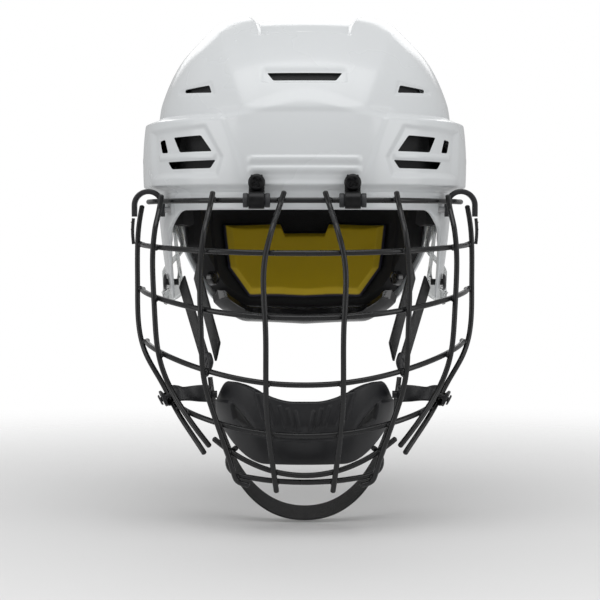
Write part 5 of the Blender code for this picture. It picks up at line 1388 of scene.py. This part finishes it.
# ---------------------------------------------------------------- straps
def build_straps():
    for side, sign in SIDES:
        width = np.array([sign * -0.26, -0.73, 0.63])
        top_x = float(side_reach(ANCHOR_Y, ANCHOR_Z, -SHELL_WALL - STRAP_INSET))
        front_top = np.array([sign * top_x, ANCHOR_Y, ANCHOR_Z])
        slider = np.array([sign * SLIDER[0], SLIDER[1], SLIDER[2]])
        down = unit(slider - front_top)
        half = SLIDER_LENGTH / 2 + GAP
        knee = slider - half * down
        front = smooth_path([front_top, (front_top + knee) / 2, knee], 60)
        piece(f"front_webbing_{side}", strip_mesh("strap", front, width, STRAP_WIDTH, STRAP_THICK, 6.0,
                                                  28), WEB,
              "helmet", "webbing", [f"strap_front_{side}"])
        rear_top = np.array([sign * (top_x - 0.006), REAR_STRAP_Y, ANCHOR_Z + 0.006])
        knee_rear = knee + np.array([sign * -0.0086, 0.005, 0.004])
        middle = (rear_top + knee_rear) / 2 + np.array([sign * -0.001, 0, -0.004])
        rear = smooth_path([rear_top, middle, knee_rear], 90)
        piece(f"rear_webbing_{side}", strip_mesh("strap", rear, width, STRAP_WIDTH, STRAP_THICK, 6.0,
                                                 28), WEB,
              "helmet", "webbing", [f"strap_rear_{side}"])
        across = unit(width - np.dot(width, down) * down)
        turn = np.linspace(0, 2 * pi, 72, endpoint=False)
        a = np.sign(np.cos(turn)) * np.abs(np.cos(turn))**0.5 * (STRAP_WIDTH / 2 + 0.0012)
        b = np.sign(np.sin(turn)) * np.abs(np.sin(turn))**0.5 * (half - 0.0018)
        loop = slider + a[:, None] * across + b[:, None] * down
        bar = slider + np.linspace(-1, 1, 12)[:, None] * (STRAP_WIDTH / 2 + 0.0010) * across
        lock = joined("slider", [tube_mesh("loop", loop, 0.0019, np.cross(across, down), 14, True),
                                 tube_mesh("bar", bar, 0.0016, down, 14)])
        piece(f"strap_lock_{side}", lock, PLASTIC, "helmet", "black_plastic", [f"strap_slider_{side}"])
        face = float(side_reach(ANCHOR_Y, ANCHOR_Z, 0.0)) + 0.0016
        inner = face - (top_x + STRAP_THICK / 2 + 0.0016)
        profile = [(0.00002, -0.0014), (0.0014, -0.0014), (0.0018, -0.0008), (0.0030, -0.0008),
                   (0.0034, -0.0017),
                   (0.0046, -0.0018), (0.0056, -0.0010), (0.0058, 0), (SCREW_RADIUS, 0),
                   (SCREW_RADIUS, inner),
                   (0.00002, inner)]
        piece(f"strap_stud_{side}", turned_mesh("stud", profile, (sign * face, ANCHOR_Y, ANCHOR_Z),
                                                (-sign, 0, 0), 40),
              PLASTIC, "helmet", "black_plastic", [f"strap_anchor_{side}"])
    low = [(SLIDER[0] - 0.0022, SLIDER[1] - 0.0022, SLIDER[2] - SLIDER_LENGTH / 2 - 0.0028)]
    low += [(0.0620, -0.0720, -0.2400), (0.0560, -0.0750, -0.2610), (0.0386, -0.0820, -0.2935),
            (0.0200, -0.0860, -0.3075), (0.0, -0.0870, -0.3115)]
    route = smooth_path(low + [(-x, y, z) for x, y, z in low[-2::-1]], 260)
    piece("chin_webbing", strip_mesh("strap", route, (0, 0.86, 0.5), STRAP_WIDTH, STRAP_THICK, 6.0, 28),
          WEB,
          "helmet", "webbing", ["chin_strap"])


# ---------------------------------------------------------------- stage
def build_stage():
    floor_z = cad_box[0][2] - FLOOR_DROP
    x, y = np.meshgrid(*[np.linspace(-FLOOR_HALF, FLOOR_HALF, 15)] * 2)
    quads, _ = grid(15, 15)
    mesh = mesh_from("floor", np.stack([x, y, np.full_like(x, floor_z)], -1).reshape(-1, 3), quads)
    pale = finish("pale floor", (0.84, 0.84, 0.84), (0.87, 0.87, 0.87), 0.7, 0.1, bump=0.03, coarse=3.0,
                  group_values={"Size": 120.0})
    tree = pale.node_tree
    place = add(tree, "ShaderNodeTexCoord")
    reach = add(tree, "ShaderNodeVectorMath", operation="LENGTH")
    fade = add(tree, "ShaderNodeMapRange", interpolation_type="SMOOTHSTEP")
    for label, value in (("From Min", FADE_START), ("From Max", FADE_END), ("To Min", 1.0),
                         ("To Max", 0.0)):
        fade.inputs[label].default_value = value
    tree.links.new(place.outputs["Object"], reach.inputs[0])
    tree.links.new(reach.outputs["Value"], fade.inputs["Value"])
    tree.links.new(fade.outputs["Result"], tree.nodes["Principled BSDF"].inputs["Alpha"])
    mesh.materials.append(pale)
    floor = bpy.data.objects.new("floor", mesh)
    bpy.context.scene.collection.objects.link(floor)
    for name, place, size, power, aim in (
            ("soft box above", (0.0, -0.55, 1.25), (1.5, 1.2), 9.4, (0, 0, -0.08)),
            ("soft box left", (-1.5, -0.75, 0.15), (0.8, 1.3), 4.8, (0, 0, -0.16)),
            ("soft box right", (1.5, -0.75, 0.15), (0.8, 1.3), 4.8, (0, 0, -0.16)),
            ("soft box behind", (0.0, 1.7, 0.75), (1.6, 0.8), 5.0, (0, 0, -0.1))):
        data = bpy.data.lights.new(name, "AREA")
        data.shape, data.size, data.size_y, data.energy = "RECTANGLE", size[0], size[1], power
        lamp = bpy.data.objects.new(name, data)
        lamp.location = place
        lamp.rotation_euler = Vector(np.array(aim) - np.array(place)).to_track_quat("-Z", "Y").to_euler()
        bpy.context.scene.collection.objects.link(lamp)
    world = bpy.data.worlds.new("studio")
    world.use_nodes = True
    tree = world.node_tree
    sky = tree.nodes["Background"]
    sky.inputs["Color"].default_value = (1, 1, 1, 1)
    sky.inputs["Strength"].default_value = WORLD_LIGHT
    seen = add(tree, "ShaderNodeBackground", (0, 200), Strength=WORLD_SEEN)
    seen.inputs["Color"].default_value = (1, 1, 1, 1)
    rays = add(tree, "ShaderNodeLightPath", (0, 400))
    mix = add(tree, "ShaderNodeMixShader", (200, 200))
    tree.links.new(rays.outputs["Is Camera Ray"], mix.inputs["Fac"])
    tree.links.new(sky.outputs["Background"], mix.inputs[1])
    tree.links.new(seen.outputs["Background"], mix.inputs[2])
    tree.links.new(mix.outputs["Shader"], tree.nodes["World Output"].inputs["Surface"])
    bpy.context.scene.world = world
    bpy.context.scene.view_settings.view_transform = "Standard"
    camera = bpy.data.cameras.new("camera")
    camera.lens, camera.sensor_width, camera.shift_x = LENS, SENSOR, SHIFT
    view = bpy.data.objects.new("camera", camera)
    view.location = CAMERA_PLACE
    view.rotation_euler = (Vector(CAMERA_AIM) - view.location).to_track_quat("-Z", "Y").to_euler()
    bpy.context.scene.collection.objects.link(view)
    bpy.context.scene.camera = view


build_stage()
build_shells()
build_liner()
build_ear_guards()
build_fittings()
build_hooks()
build_cage()
build_chin()
build_straps()
